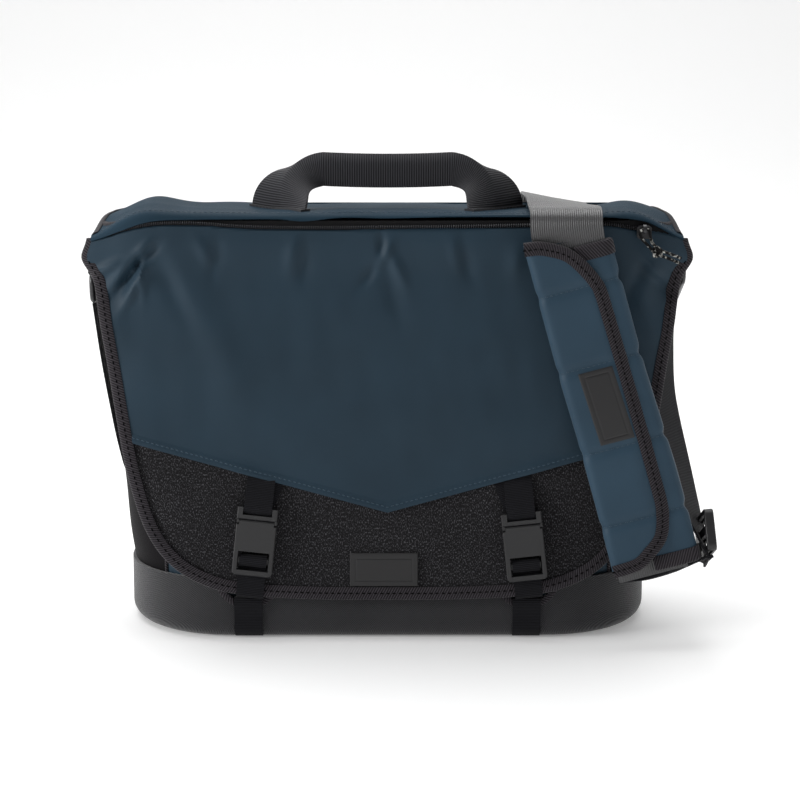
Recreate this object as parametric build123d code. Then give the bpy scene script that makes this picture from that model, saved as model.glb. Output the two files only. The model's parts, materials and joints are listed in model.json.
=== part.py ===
from build123d import *
import math
import os

os.makedirs("parts", exist_ok=True)

# A messenger bag on its own base. Millimetres; origin at the middle of the base's underside.
# +X is the wearer's view's right of the flap, -Y is the front and +Z is up.

# Base tub
BASE_W, BASE_D, BASE_H = 380.0, 160.0, 45.0
BASE_R, BASE_EDGE = 75.0, 12.0
BASE_WALL, BASE_FLOOR = 2.5, 3.0
TUB_EDGE = 9.5                      # inside bottom edge
BOARD_T = 5.0

# Body walls: a ring that flares from the base board to the mouth
WALL = 5.0
WALL_Z0, WALL_Z1 = BASE_FLOOR + BOARD_T + 2, 300.5
WALL_BOTTOM = dict(half_w=184.5, front=-75.4, back=75.4, radius=74.0)
WALL_TOP = dict(half_w=203.0, front=-71.0, back=61.0, radius=34.0)
SEAM_X = 160.0
LINING = 1.0

# Flap: a top panel hinged at the rear edge, and a front panel hinged at the lip
FOLD_Y, FOLD_Z = -76.0, 303.0
REAR_Y, REAR_Z = 61.5, 303.5
TOP_Z, TOP_T = 303.5, 3.0
TOP_HALF_W = 208.0
FLAP_Y = -77.6                      # outer face at the fold
FLAP_SKIN, FLAP_LINER = 1.8, 1.2
FLAP_LEAN = Vector(0, -8.0, -270.0)  # the front panel leans out as it goes down
FLAT_X, END_R = 145.0, 220.0        # flat middle, then arcs round the ends
BINDING_W, BINDING_OVER = 9.0, 0.6

# Webbing
WEB, WEB_NARROW, WEB_T = 50.0, 20.0, 1.6

# Buckles: centre, height of the centre and lean of each
BUCKLE_W, BUCKLE_T = 28.6, 7.0
BUCKLES = {"left": (-94.3, 74.5, 6.1), "right": (97.5, 71.0, -6.0)}
NOTCH_X, NOTCH_Z, NOTCH_R = 100.0, 47.0, 20.5
CATCH_Z = 32.9                      # where each catch loop passes under the flap

# Shoulder strap and pad
STRAP_X = 124.0
STRAP_TOP_Z = 315.0
PAD_W, PAD_LEN = 62.0, 250.0
PAD_TOP = Vector(125.0, -91.0, 293.0)
PAD_END = Vector(189.5, -97.0, 52.0)
PAD_BACK, PAD_GAP, PAD_FACE = 4.0, 3.2, 5.0
RING_X, RING_Z = 213.0, 252.0
RING_LEAN = {"left": 11.0, "right": -24.6}
RUN_TOP, RUN_END = Vector(213.3, -5.4, 240.2), Vector(229.5, -84, 58)

# Zip and its pull cord
ZIP_Z, ZIP_HALF_W = 297.1, 195.0
ZIP_Y = -79.6
SLIDER_X = 179.0
EYE = Vector(SLIDER_X, -85.8, 298.2)
CORD_D = 2.2
CORD_ROUTE = [
    (204.0, -85.9, 274.4),
    (195.5, -86.1, 278.1),
    (187.0, -86.1, 280.9),
    (181.4, -86.0, 287.1),
    (176.2, -85.9, 292.1),
    (175.4, -85.8, 298.1),
    (182.6, -85.8, 298.3),
    (182.9, -85.9, 292.9),
    (184.2, -86.0, 288.5),
    (189.2, -86.1, 283.7),
    (197.0, -86.1, 281.1),
    (204.8, -85.9, 277.9),
]
KNOT_AT, KNOT_R = Vector(188.0, -86.1, 282.4), 4.2

# Carry handle
GRIP_HALF, GRIP_Y, GRIP_Z, GRIP_H, GRIP_T = 46.0, -25.0, 333.5, 24.0, 9.0


def save(name, shape):
    """Write one sub-part."""
    shape.label = name
    export_step(shape, f"parts/{name}.step")


def block(x0, x1, y0, y1, z0, z1):
    """A box from its limits."""
    return Pos((x0 + x1) / 2, (y0 + y1) / 2, (z0 + z1) / 2) * Box(x1 - x0, y1 - y0, z1 - z0)


# Body ---------------------------------------------------------------------------------------
def wall_section(z, inset):
    """The body's rounded plan at height z, inset by a thickness."""
    t = (z - WALL_Z0) / (WALL_Z1 - WALL_Z0)
    half_w, front, back, radius = (
        WALL_BOTTOM[k] + t * (WALL_TOP[k] - WALL_BOTTOM[k]) for k in ("half_w", "front", "back", "radius")
    )
    plan = RectangleRounded(2 * (half_w - inset), back - front - 2 * inset, radius - inset)
    return Pos(0, (front + back) / 2, z) * plan


def wall_solid(z0, z1, inset):
    """The tapering solid inside one skin of the wall."""
    return loft([wall_section(z0, inset), wall_section(z1, inset)])


def wall_ring():
    """The padded wall, before it is cut into panels."""
    return wall_solid(WALL_Z0, WALL_Z1, 0) - wall_solid(WALL_Z0, WALL_Z1, WALL)


def lining():
    """A thin open bag inside the walls."""
    outer = wall_solid(WALL_Z0, WALL_Z1 - 2, WALL)
    return outer - wall_solid(WALL_Z0 + LINING, WALL_Z1 - 2, WALL + LINING)


def organiser_pocket():
    """A flat pocket sewn to the inside of the front wall."""
    tray = block(-140, 140, -63.6, -57.0, 11.2, 215)
    return tray - block(-138.5, 138.5, -70.0, -58.5, 12.7, 220)


def base_strap(x):
    """Webbing that runs down the front of the base and back under it."""
    r = BASE_EDGE
    front = -BASE_D / 2 - WEB_T
    under = block(-WEB_NARROW / 2, WEB_NARROW / 2, front + r, 0, 0, WEB_T)
    rise = block(-WEB_NARROW / 2, WEB_NARROW / 2, front, front + WEB_T, r, NOTCH_Z - 24.2)
    tube = Rot(0, 90, 0) * (Cylinder(r, WEB_NARROW) - Cylinder(r - WEB_T, WEB_NARROW))
    bend = (Pos(0, front + r, r) * tube) & block(-20, 20, -100, front + r, -1, r)
    return Pos(x, 0, 0) * (under + bend + rise)


def strap_groove(x):
    """The shallow groove that a base strap lies in, so that the underside stays flat."""
    r, half = BASE_EDGE, WEB_NARROW / 2 + 0.4
    front = -BASE_D / 2 - WEB_T
    corner = block(-half, half, -100, front + r, -1, r)
    corner -= Pos(0, front + r, r) * Rot(0, 90, 0) * Cylinder(r - WEB_T - 0.1, 60)
    return Pos(x, 0, 0) * (corner + block(-half, half, front + r, 0.5, -1, WEB_T + 0.1))


def base_tub():
    """The moulded base: hollow, with two notches in its front edge and two strap grooves."""
    outer = extrude(RectangleRounded(BASE_W, BASE_D, BASE_R), BASE_H)
    outer = fillet(outer.edges().group_by(Axis.Z)[0], BASE_EDGE)
    w, d = BASE_W - 2 * BASE_WALL, BASE_D - 2 * BASE_WALL
    inner = extrude(RectangleRounded(w, d, BASE_R - BASE_WALL), BASE_H)
    inner = fillet(inner.edges().group_by(Axis.Z)[0], TUB_EDGE)
    tub = outer - Pos(0, 0, BASE_FLOOR) * inner
    for side in (-1, 1):
        tub -= Pos(side * NOTCH_X, -78, NOTCH_Z) * Rot(90, 0, 0) * Cylinder(NOTCH_R, 12)
        tub -= strap_groove(side * NOTCH_X)
    return tub


def notch_binding(x):
    """Tape folded over the rim of one notch."""
    ring = Cylinder(24.0, 5.0) - Cylinder(19.2, 5.0)
    ring = Pos(x, -78.75, NOTCH_Z) * Rot(90, 0, 0) * ring
    wall = Cylinder(30.0, BASE_WALL + 0.8) - Cylinder(NOTCH_R - 0.1, BASE_WALL + 0.8)
    ring -= Pos(x, -BASE_D / 2 + BASE_WALL / 2 + 0.3, NOTCH_Z) * Rot(90, 0, 0) * wall
    return ring & block(x - 30, x + 30, -90, -70, 0, BASE_H)


def base_board():
    """The stiffener inside the tub, clear of the tub's bottom edge."""
    plan = RectangleRounded(BASE_W - 36, BASE_D - 36, BASE_R - 18)
    return Pos(0, 0, BASE_FLOOR) * extrude(plan, BOARD_T)


def back_pocket():
    """A slip pocket that lies flat on the back."""
    lean = math.degrees(math.atan2(WALL_BOTTOM["back"] - WALL_TOP["back"], WALL_Z1 - WALL_Z0))
    sheet = fillet(Box(230, 3.0, 150).edges().filter_by(Axis.Y).group_by(Axis.Z)[0], 18)
    middle = 135.0
    back = WALL_BOTTOM["back"] - (middle - WALL_Z0) * math.tan(math.radians(lean))
    return Pos(0, back + 1.6, middle) * Rot(lean, 0, 0) * sheet


def loop_pad(x):
    """A patch of loop tape on the front wall, facing the flap's hook tape."""
    lean = math.degrees(math.atan2(WALL_BOTTOM["front"] - WALL_TOP["front"], WALL_Z1 - WALL_Z0))
    middle = 170.0
    front = WALL_BOTTOM["front"] - (middle - WALL_Z0) * math.tan(math.radians(lean))
    return Pos(x, front - 0.75, middle) * Rot(lean, 0, 0) * Box(50, 1.4, 90)


# Flap ---------------------------------------------------------------------------------------
def end_sag(half_w):
    """How far the end of the front curve lies behind its flat middle."""
    return END_R - math.sqrt(END_R**2 - (half_w - FLAT_X) ** 2)


def front_curve(half_w, y):
    """Flat in the middle with an arc towards each end."""
    sag = end_sag(half_w)
    middle = Line((-FLAT_X, y), (FLAT_X, y))
    right = TangentArc((FLAT_X, y), (half_w, y + sag), tangent=(1, 0))
    left = TangentArc((-FLAT_X, y), (-half_w, y + sag), tangent=(-1, 0))
    return left, middle, right


def front_strip(half_w, y, thickness):
    """The plan of a sheet that follows the front curve."""
    sag = end_sag(half_w)
    ends = [
        Line((s * half_w, y + sag), (s * half_w, y + thickness + sag)) for s in (-1, 1)
    ]
    edges = [*front_curve(half_w, y), *front_curve(half_w, y + thickness), *ends]
    return make_face(Wire.combine(edges)[0].edges())


def flap_layer(outline, offset_out, thickness):
    """A layer of the front panel: its outer face stands offset_out before the skin's."""
    strip = Pos(0, 0, FOLD_Z) * front_strip(218.0, FLAP_Y - offset_out, thickness)
    sheet = extrude(strip, FLAP_LEAN.length * 1.02, dir=FLAP_LEAN.normalized())
    cutter = extrude(Plane.XZ * outline, 60, both=True)
    return sheet & (Pos(0, FLAP_Y, 0) * cutter)


def flap_outline(inset=0.0):
    """The front panel's edge in the XZ plane, or a line inset from all but its top edge."""
    top_z = FOLD_Z - 0.5
    side = [(211, top_z), (215, 284), (207, 258), (202, 228), (192, 163), (184, 118), (172, 80)]
    side += [(153, 55), (126, 40)]
    low = [(96, 34.2), (48, 31.8), (0, 31.5)]
    run = [Vector(*p) for p in side + low]
    moved = []
    for before, at, after in zip([run[0]] + run, run, run[1:] + [run[-1]]):
        along = (after - before).normalized()
        moved.append(at + Vector(along.Y, -along.X) * inset)
    half = [(moved[0].X, top_z)] + [(p.X, p.Y) for p in moved[1:-1]] + [(0, low[-1][1] + inset)]
    right = Spline(*half, tangents=[(0.5, -1), (-1, 0)])
    top = Line((-half[0][0], top_z), (half[0][0], top_z))
    return make_face(Wire.combine([top, right, mirror(right, Plane.YZ)])[0].edges())


def chevron():
    """The region below the seam that points down in the middle."""
    points = [(-230, 152), (-177, 144), (0, 95), (177, 144), (230, 152), (230, 0), (-230, 0)]
    return make_face(Polyline(*points, close=True))


def top_panel():
    """The cover over the mouth."""
    front = FLAP_Y + 1.4
    sag = end_sag(TOP_HALF_W)
    back = REAR_Y - 1.5
    rear = Line((TOP_HALF_W - 12, back), (-TOP_HALF_W + 12, back))
    ends = [Line((s * TOP_HALF_W, front + sag), (s * (TOP_HALF_W - 12), back)) for s in (-1, 1)]
    plan = make_face(Wire.combine([*front_curve(TOP_HALF_W, front), rear, *ends])[0].edges())
    return extrude(Pos(0, 0, TOP_Z) * plan, TOP_T)


def top_lip():
    """The rain lip that hangs over the zip."""
    strip = Pos(0, 0, FOLD_Z + 1.9) * front_strip(TOP_HALF_W, FLAP_Y - 1.0, 2.3)
    return extrude(strip, 3.6)


def top_binding():
    """Tape on both ends of the top panel."""
    front, back = FLAP_Y + 1.4 + end_sag(TOP_HALF_W), REAR_Y - 1.5
    tapes = []
    for s in (-1, 1):
        corners = [(s * (TOP_HALF_W + 0.1), front), (s * (TOP_HALF_W - 11.9), back)]
        corners += [(s * (TOP_HALF_W - 7.9), back), (s * (TOP_HALF_W + 4.1), front)]
        face = make_face(Polyline(*corners, close=True))
        tapes.append(extrude(Pos(0, 0, TOP_Z - 0.6) * face, TOP_T + 1.2))
    return tapes


# Webbing ------------------------------------------------------------------------------------
def ribbon(sections):
    """Webbing lofted through (centre, across, along, width, thickness) sections."""
    faces = []
    for centre, across, along, width, thickness in sections:
        plane = Plane(origin=centre, x_dir=across, z_dir=along)
        faces.append(plane * Rectangle(width, thickness))
    return loft(faces, ruled=True)


def pad_frame():
    """The pad's own plane: X across, Y up the strap and Z away from the flap."""
    up = (PAD_TOP - PAD_END).normalized()
    across = up.cross(Vector(0, -1, 0)).normalized()
    return Plane(origin=PAD_TOP, x_dir=across, z_dir=across.cross(up))


def pad_back():
    """The pad's rear layer."""
    sheet = Pos(0, -PAD_LEN / 2, PAD_BACK / 2) * Box(PAD_W, PAD_LEN, PAD_BACK)
    return pad_frame() * fillet(sheet.edges().filter_by(Axis.Z), 8)


def pad_face():
    """The pad's front layer, with a rail down each side of the strap's tunnel."""
    depth = PAD_GAP + PAD_FACE
    sheet = Pos(0, -PAD_LEN / 2, PAD_BACK + depth / 2) * Box(PAD_W, PAD_LEN, depth)
    sheet = fillet(sheet.edges().filter_by(Axis.Z), 8)
    return pad_frame() * (sheet - Pos(0, -PAD_LEN / 2, PAD_BACK + PAD_GAP / 2) * Box(51.4, PAD_LEN + 2, PAD_GAP))


STRAP_LEVEL = PAD_BACK + PAD_GAP / 2   # the strap's mid-plane in the pad's frame
STRAP_ABOVE, STRAP_BELOW = 14.0, 14.0


def strap_front():
    """The straight stretch inside the pad."""
    length = PAD_LEN + STRAP_ABOVE + STRAP_BELOW
    middle = STRAP_ABOVE - length / 2
    return pad_frame() * (Pos(0, middle, STRAP_LEVEL) * Box(WEB, length, WEB_T))


def strap_top():
    """The stretch that crosses the top panel."""
    return Pos(STRAP_X, -12.5, STRAP_TOP_Z) * Box(WEB, 115, WEB_T)


def strap_front_bend():
    """The strap's turn over the lip."""
    frame = pad_frame()
    low = frame.from_local_coords(Vector(0, STRAP_ABOVE, STRAP_LEVEL))
    down = -frame.y_dir
    sections = [
        (Vector(STRAP_X, -70, STRAP_TOP_Z), Vector(1, 0, 0), Vector(0, -1, 0), WEB, WEB_T),
        (Vector(STRAP_X, -84, STRAP_TOP_Z - 2.6), Vector(1, 0, -0.1), Vector(0.1, -1, -0.55), WEB, WEB_T),
        (low + Vector(-0.8, 1.4, 3.4), Vector(1, 0, 0.2), Vector(0.2, -0.5, -1), WEB, WEB_T),
        (low, frame.x_dir, down, WEB, WEB_T),
    ]
    return ribbon(sections)


def strap_rear_bend():
    """The strap's turn over the rear edge."""
    path = FilletPolyline((45.0, STRAP_TOP_Z), (71.6, STRAP_TOP_Z), (71.9, 288.2), radius=23)
    sheet = extrude(Plane.YZ * trace(path, WEB_T), WEB / 2, both=True)
    return Pos(STRAP_X, 0, 0) * sheet


def strap_back():
    """The slack length from the left ring, down that side and across the back."""
    low, low_z = 70.0, 118.0
    plan = Plane.XY.offset(low) * trace(FilletPolyline((-196, -60), (-196, 83.6), (170, 83.6), radius=60), WEB_T)
    curtain = extrude(plan, 240, dir=Vector(-0.105, -0.0535, 1).normalized())
    side_line = FilletPolyline((2, 239.4), (24, low_z), (150, low_z), radius=58)
    rear_line = FilletPolyline((-260, low_z), (58, low_z), (STRAP_X, 205), (STRAP_X, 288), radius=88)
    side = extrude(Plane.YZ * trace(side_line, WEB), -300) & block(-300, -176, -80, 110, 0, 320)
    rear = extrude(Plane.XZ * trace(rear_line, WEB), -120) & block(-176, 200, 20, 120, 0, 320)
    return (curtain & side) + (curtain & rear)


def run_frame():
    """The right-hand run's own plane: X across the webbing and Y up along it."""
    up = (RUN_TOP - RUN_END).normalized()
    across = up.cross(Vector(1, 0, 0)).normalized()
    return Plane(origin=RUN_END, x_dir=across, z_dir=across.cross(up))


def strap_right():
    """The straight run from the right ring down to the tri-glide."""
    length = (RUN_TOP - RUN_END).length
    return run_frame() * (Pos(0, length / 2, 0) * Box(WEB, length, WEB_T))


def tri_glide():
    """The adjuster: end bars and a middle bar on both faces of the webbing."""
    body = fillet(Box(60, 30, 6.8).edges().filter_by(Axis.Z), 5)
    body = fillet(body.faces().sort_by(Axis.Z)[-1].edges() + body.faces().sort_by(Axis.Z)[0].edges(), 1.0)
    body -= Box(51.4, 32, 2.6)
    for side in (-1, 1):
        body -= Pos(0, side * 7.0, 0) * Box(51.4, 8.0, 8.0)
    return run_frame() * (Pos(0, 20, 0) * body)


def strap_turn():
    """The strap's turn from the pad's lower end to the tri-glide."""
    pad, run = pad_frame(), run_frame()
    start = pad.from_local_coords(Vector(0, -PAD_LEN - STRAP_BELOW, STRAP_LEVEL))
    sections = [
        (start, pad.x_dir, -pad.y_dir, WEB, WEB_T),
        (start + Vector(7, 3, -12), Vector(0.8, -0.35, 0.35), Vector(0.6, 0.3, -0.8), 44, WEB_T),
        (Vector(222, -86, 36), Vector(0.35, -0.85, 0.35), Vector(0.8, 0.4, 0.3), 44, WEB_T),
        (RUN_END, run.x_dir * 1, run.y_dir, WEB, WEB_T),
    ]
    return ribbon(sections)


def ring_place(side):
    """Where a side ring's own YZ frame sits, turned with the pull of its strap."""
    x = RING_X if side == "right" else -RING_X
    return Pos(x, 0, RING_Z) * Rot(RING_LEAN[side], 0, 0)


def side_ring(side):
    """A rounded rectangular ring of wire."""
    centre_line = (Plane.YZ * RectangleRounded(56, 20, 7)).wire()
    profile = Plane(origin=(0, 0, 10), x_dir=(1, 0, 0), z_dir=(0, 1, 0)) * Circle(2.2)
    return ring_place(side) * sweep(profile, path=centre_line)


def ring_tab(side):
    """The sewn tab that carries a ring: a loop round its upper bar and a tail on the gusset."""
    s = 1 if side == "right" else -1
    sleeve = Plane.XZ * (Pos(0, 10) * (Circle(4.0) - Circle(2.35)))
    tail = Plane.XZ * make_face(Polyline((-s * 3.0, 12), (0, 13.5), (-s * 7.6, 37), (-s * 9.6, 37), close=True))
    loop = extrude(sleeve, 20, both=True) + (extrude(tail, 20, both=True) - extrude(Plane.XZ * (Pos(0, 10) * Circle(2.35)), 20, both=True))
    return ring_place(side) * loop


# Handle -------------------------------------------------------------------------------------
def handle_grip():
    """The folded webbing between the legs."""
    bar = Box(2 * GRIP_HALF, GRIP_T, GRIP_H)
    return Pos(0, GRIP_Y, GRIP_Z) * fillet(bar.edges().filter_by(Axis.X), 3.5)


def handle_leg(s):
    """One leg, turning from its diagonal seam up into the grip."""
    sections = [
        (Vector(s * 75.5, GRIP_Y, 309.0), Vector(s * 45, 50, 0), Vector(0, 0, 1), 62, 2.4),
        (Vector(s * 72, GRIP_Y, 322.0), Vector(s * 38, 30, 22), Vector(-s * 0.6, 0, 1), 42, 4.0),
        (Vector(s * 62, GRIP_Y, 330.5), Vector(s * 18, 12, 34), Vector(-s * 1, 0, 0.5), 30, 6.0),
        (Vector(s * (GRIP_HALF + 0.3), GRIP_Y, GRIP_Z), Vector(0, 0, 1), Vector(-s, 0, 0), GRIP_H - 1, GRIP_T - 1),
    ]
    return ribbon(sections)


def handle_foot(s):
    """The sewn end of a leg, flat on the top panel."""
    angle = s * math.degrees(math.atan2(50, 45))
    return Pos(s * 78.5, GRIP_Y, TOP_Z + TOP_T + 1.1) * Rot(0, 0, angle) * Box(66, 20, 2.0)


# Buckles ------------------------------------------------------------------------------------
def buckle_frame(side):
    """A buckle's own plane on the flap: X across, Y up its length and Z outwards."""
    x, z, lean = BUCKLES[side]
    tilt = math.radians(lean)
    slope = -FLAP_LEAN.Y / -FLAP_LEAN.Z
    y = FLAP_Y + FLAP_LEAN.Y * (FOLD_Z - z) / -FLAP_LEAN.Z
    up = Vector(math.sin(tilt), slope * math.cos(tilt), math.cos(tilt)).normalized()
    out = Vector(0, -1, slope).normalized()
    return Plane(origin=(x, y, z), x_dir=up.cross(out).normalized(), z_dir=out)


SIDE = Plane.YZ                        # profiles along a buckle: local Y is its length, Z its depth
PIVOT_V, PIVOT_W = 14.6, 5.6
ROD_V, ROD_W, ROD_R = 22.9, 3.5, 1.6
BAR_V, BAR_W = -13.9, 3.6


def across(profile, half):
    """Extrude a length-and-depth profile to both sides."""
    return extrude(SIDE * profile, half, both=True)


def soften(solid, low, high, size=0.6):
    """Chamfer the front face's edges whose middles lie between two lengths."""
    front = solid.faces().sort_by(Axis.Z)[-1]
    return chamfer([e for e in front.edges() if low < e.center().Y < high], size)


def buckle_top(side):
    """The upper loop frame: two cheeks, a webbing rod, a cross piece and two pivot ears."""
    half = BUCKLE_W / 2
    frame = soften(block(-half, half, 16.3, 25.0, 0.3, BUCKLE_T), 15, 99)
    frame -= block(-10.4, 10.4, 19.55, 30, -1, 9)
    frame += across(Pos(ROD_V, ROD_W) * Circle(ROD_R), 11.0)
    for s in (-1, 1):
        ear = sorted((s * 12.7, s * half))
        frame += block(*ear, PIVOT_V, 16.4, 4.2, BUCKLE_T)
        knuckle = extrude(SIDE * (Pos(PIVOT_V, PIVOT_W) * Circle(1.4)), s * (half - 12.7))
        frame += Pos(s * 12.7, 0, 0) * knuckle
        pivot = extrude(SIDE * (Pos(PIVOT_V, PIVOT_W) * Circle(0.75)), s * 2.6)
        frame += Pos(s * 10.6, 0, 0) * pivot
    return buckle_frame(side) * frame


def buckle_plate(side):
    """The hooked cover plate: it swings outwards on the pivots and lets the catch bar go."""
    half = BUCKLE_W / 2
    plate = block(-half, half, -24.5, PIVOT_V, 0.5, BUCKLE_T)
    plate = fillet(plate.edges().filter_by(Axis.Z).group_by(Axis.Y)[0], 3.0)
    plate = soften(plate, -99, PIVOT_V - 1)
    plate += across(Pos(PIVOT_V, PIVOT_W) * Circle(1.4), half)
    plate += block(-half, half, PIVOT_V - 0.1, 16.0, 0.5, PIVOT_W)
    plate -= block(-11.2, 11.2, -20.8, -7.0, -1, 9)
    plate -= block(-11.2, 11.2, -30, -20.0, -1, 2.8)
    for s in (-1, 1):
        room = sorted((s * 12.4, s * 16))
        plate -= block(*room, 12.4, 20, 3.9, 9)
    plate -= across(Pos(PIVOT_V, PIVOT_W) * Circle(0.95), 13.4)
    return buckle_frame(side) * plate


def buckle_webbing(side):
    """Webbing sewn under the chevron seam and looped round the rod."""
    r = ROD_R + 0.1 + 0.75
    front = Line((58, 2.45), (ROD_V, ROD_W + r))
    turn = ThreePointArc((ROD_V, ROD_W + r), (ROD_V - r, ROD_W), (ROD_V, ROD_W - r))
    back = Line((ROD_V, ROD_W - r), (58, 0.86))
    legs = across(trace(front, 1.5), 10) + across(trace(turn, 1.5), 10) + across(trace(back, 1.5), 10)
    return buckle_frame(side) * legs


def catch_bar(side):
    """The flat bar that the plate hooks over."""
    return buckle_frame(side) * across(Pos(BAR_V, BAR_W) * SlotOverall(6.0, 3.2), 10.6)


def catch_loop(side):
    """Webbing wrapped round the catch bar, down behind the plate and in through the notch."""
    lean = math.cos(math.radians(BUCKLES[side][2]))
    low = (CATCH_Z - BUCKLES[side][1]) / lean
    wrap = SlotOverall(9.2, 6.3) - SlotOverall(6.1, 3.3)
    sleeve = across(Pos(BAR_V, BAR_W) * wrap, 10)
    start = BAR_V - 2.6
    path = FilletPolyline((start, 1.15), (low, 1.9), (low, -8.2), radius=2.2)
    return buckle_frame(side) * (sleeve + across(trace(path, 1.5), 10))


# Zip ----------------------------------------------------------------------------------------
def zip_slider():
    """The slider: a block round the coil with a bail for the cord."""
    body = block(SLIDER_X - 5, SLIDER_X + 5, -83.6, -78.8, 291.2, 300.0)
    body = fillet(body.edges().filter_by(Axis.Y), 2.2)
    body -= Pos(SLIDER_X, ZIP_Y, ZIP_Z) * Rot(0, 90, 0) * Cylinder(1.5, 12)
    bail = Pos(EYE.X, EYE.Y + 0.5, EYE.Z) * Rot(0, 90, 0) * Cylinder(3.2, 2.2)
    body += bail
    return body - Pos(*EYE) * Rot(0, 90, 0) * Cylinder(1.6, 6)


def cord_radii(route):
    """Arc radii as large as the route's runs allow."""
    radii = []
    for a, b, c in zip(route, route[1:], route[2:]):
        before, after = Vector(*b) - Vector(*a), Vector(*c) - Vector(*b)
        half_turn = math.radians(before.get_angle(after) / 2)
        radii.append(0.45 * min(before.length, after.length) / math.tan(half_turn))
    return radii


def pull_cord():
    """The pull's cord: one length through the bail, both ends out of the knot."""
    radii = cord_radii(CORD_ROUTE)
    print("cord radii", [round(r, 1) for r in radii])
    path = FilletPolyline(*CORD_ROUTE, radius=radii)
    start = Plane(origin=path @ 0, z_dir=path % 0)
    tube = sweep(start * Circle(CORD_D / 2), path=path)
    print("cord length", round(path.length, 1), "volume ratio", round(tube.volume / (math.pi * CORD_D**2 / 4 * path.length), 3))
    return tube


def pull_knot():
    """The overhand knot, as one bead."""
    return Pos(*KNOT_AT) * Sphere(KNOT_R)


def main():
    ring = wall_ring()
    save("base_tub", base_tub())
    save("base_board", base_board())
    save("front_panel", ring & block(-SEAM_X, SEAM_X, -120, -20, 0, 400))
    save("back_panel", ring & block(-SEAM_X, SEAM_X, 20, 120, 0, 400))
    save("gusset_left", ring & block(-260, -SEAM_X, -120, 120, 0, 400))
    save("gusset_right", ring & block(SEAM_X, 260, -120, 120, 0, 400))
    save("lining", lining())
    save("laptop_divider", block(-165, 165, 28, 34, WALL_Z0 + LINING, 250))
    save("organiser_pocket", organiser_pocket())
    save("back_pocket", back_pocket())
    outer = flap_outline()
    inner = flap_outline(BINDING_W)
    save("flap_upper", flap_layer(inner - chevron(), 0, FLAP_SKIN))
    save("flap_lower", flap_layer(inner & chevron(), 0, FLAP_SKIN))
    save("flap_liner", flap_layer(inner, -FLAP_SKIN, FLAP_LINER))
    thickness = FLAP_SKIN + FLAP_LINER + 2 * BINDING_OVER
    save("flap_binding", flap_layer(outer - inner, BINDING_OVER, thickness))
    save("flap_patch", flap_layer(Pos(-2.5, 53.2) * Rectangle(48.6, 24.5), 1.2, 1.2))
    for side, s in (("left", -1), ("right", 1)):
        save(f"loop_pad_{side}", loop_pad(s * 96))
        pad = Pos(s * 96, 170) * Rectangle(50, 90)
        save(f"hook_pad_{side}", flap_layer(pad, -FLAP_SKIN - FLAP_LINER, 1.4))
        save(f"base_strap_{side}", base_strap(s * NOTCH_X))
        save(f"notch_binding_{side}", notch_binding(s * NOTCH_X))
        save(f"side_ring_{side}", side_ring(side))
        save(f"ring_tab_{side}", ring_tab(side))
        save(f"handle_leg_{side}", handle_leg(s))
        save(f"handle_foot_{side}", handle_foot(s))
        save(f"buckle_top_{side}", buckle_top(side))
        save(f"buckle_plate_{side}", buckle_plate(side))
        save(f"buckle_webbing_{side}", buckle_webbing(side))
        save(f"catch_bar_{side}", catch_bar(side))
        save(f"catch_loop_{side}", catch_loop(side))
    save("top_binding", Compound(children=top_binding()))
    save("top_panel", top_panel())
    save("top_lip", top_lip())
    save("zip_tape", block(-ZIP_HALF_W, ZIP_HALF_W, -78.5, -78.0, 292.5, 299.7))
    save("zip_coil", Pos(0, ZIP_Y, ZIP_Z) * Rot(0, 90, 0) * Cylinder(1.1, 2 * ZIP_HALF_W - 4))
    save("zip_slider", zip_slider())
    save("pull_cord", pull_cord())
    save("pull_knot", pull_knot())
    save("handle_grip", handle_grip())
    save("pad_back", pad_back())
    save("pad_face", pad_face())
    save("strap_front", strap_front())
    save("strap_top", strap_top())
    save("strap_front_bend", strap_front_bend())
    save("strap_rear_bend", strap_rear_bend())
    save("strap_back", strap_back())
    save("strap_right", strap_right())
    save("strap_turn", strap_turn())
    save("tri_glide", tri_glide())


main()
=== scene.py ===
"""Messenger bag: cloth body on a moulded base, folding flap, webbing, buckles, zip and padded strap."""
from __future__ import annotations

import json
import logging
import math
from bisect import bisect_left
from collections.abc import Callable, Sequence
from dataclasses import dataclass
from enum import Enum

import bmesh
import bpy
from mathutils import Matrix, Vector, noise

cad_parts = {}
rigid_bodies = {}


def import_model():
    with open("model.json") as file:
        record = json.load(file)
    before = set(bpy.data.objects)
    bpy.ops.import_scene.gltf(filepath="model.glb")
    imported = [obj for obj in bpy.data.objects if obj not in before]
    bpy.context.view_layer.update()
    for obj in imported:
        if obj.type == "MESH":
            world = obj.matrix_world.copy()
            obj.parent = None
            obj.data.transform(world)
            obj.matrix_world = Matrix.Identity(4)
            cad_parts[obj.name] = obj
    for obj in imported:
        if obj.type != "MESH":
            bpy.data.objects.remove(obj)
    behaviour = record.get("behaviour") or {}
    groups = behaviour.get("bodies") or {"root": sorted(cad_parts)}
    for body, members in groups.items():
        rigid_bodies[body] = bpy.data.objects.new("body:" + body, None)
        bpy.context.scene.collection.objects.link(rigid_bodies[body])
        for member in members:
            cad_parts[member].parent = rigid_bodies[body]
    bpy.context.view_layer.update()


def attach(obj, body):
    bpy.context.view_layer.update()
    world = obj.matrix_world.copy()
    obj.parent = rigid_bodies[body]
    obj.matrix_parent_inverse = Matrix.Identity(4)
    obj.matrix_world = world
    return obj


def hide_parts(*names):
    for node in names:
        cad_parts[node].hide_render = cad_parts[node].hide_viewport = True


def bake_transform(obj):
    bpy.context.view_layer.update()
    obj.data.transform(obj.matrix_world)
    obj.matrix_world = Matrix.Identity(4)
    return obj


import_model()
LOG = logging.getLogger("bag")

Grid = list[list[Vector]]


# Numbers ------------------------------------------------------------------------------------
def metres(point: Sequence[float]) -> Vector:
    """Turn a point in millimetres into metres."""
    return Vector(point) * 0.001


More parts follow.
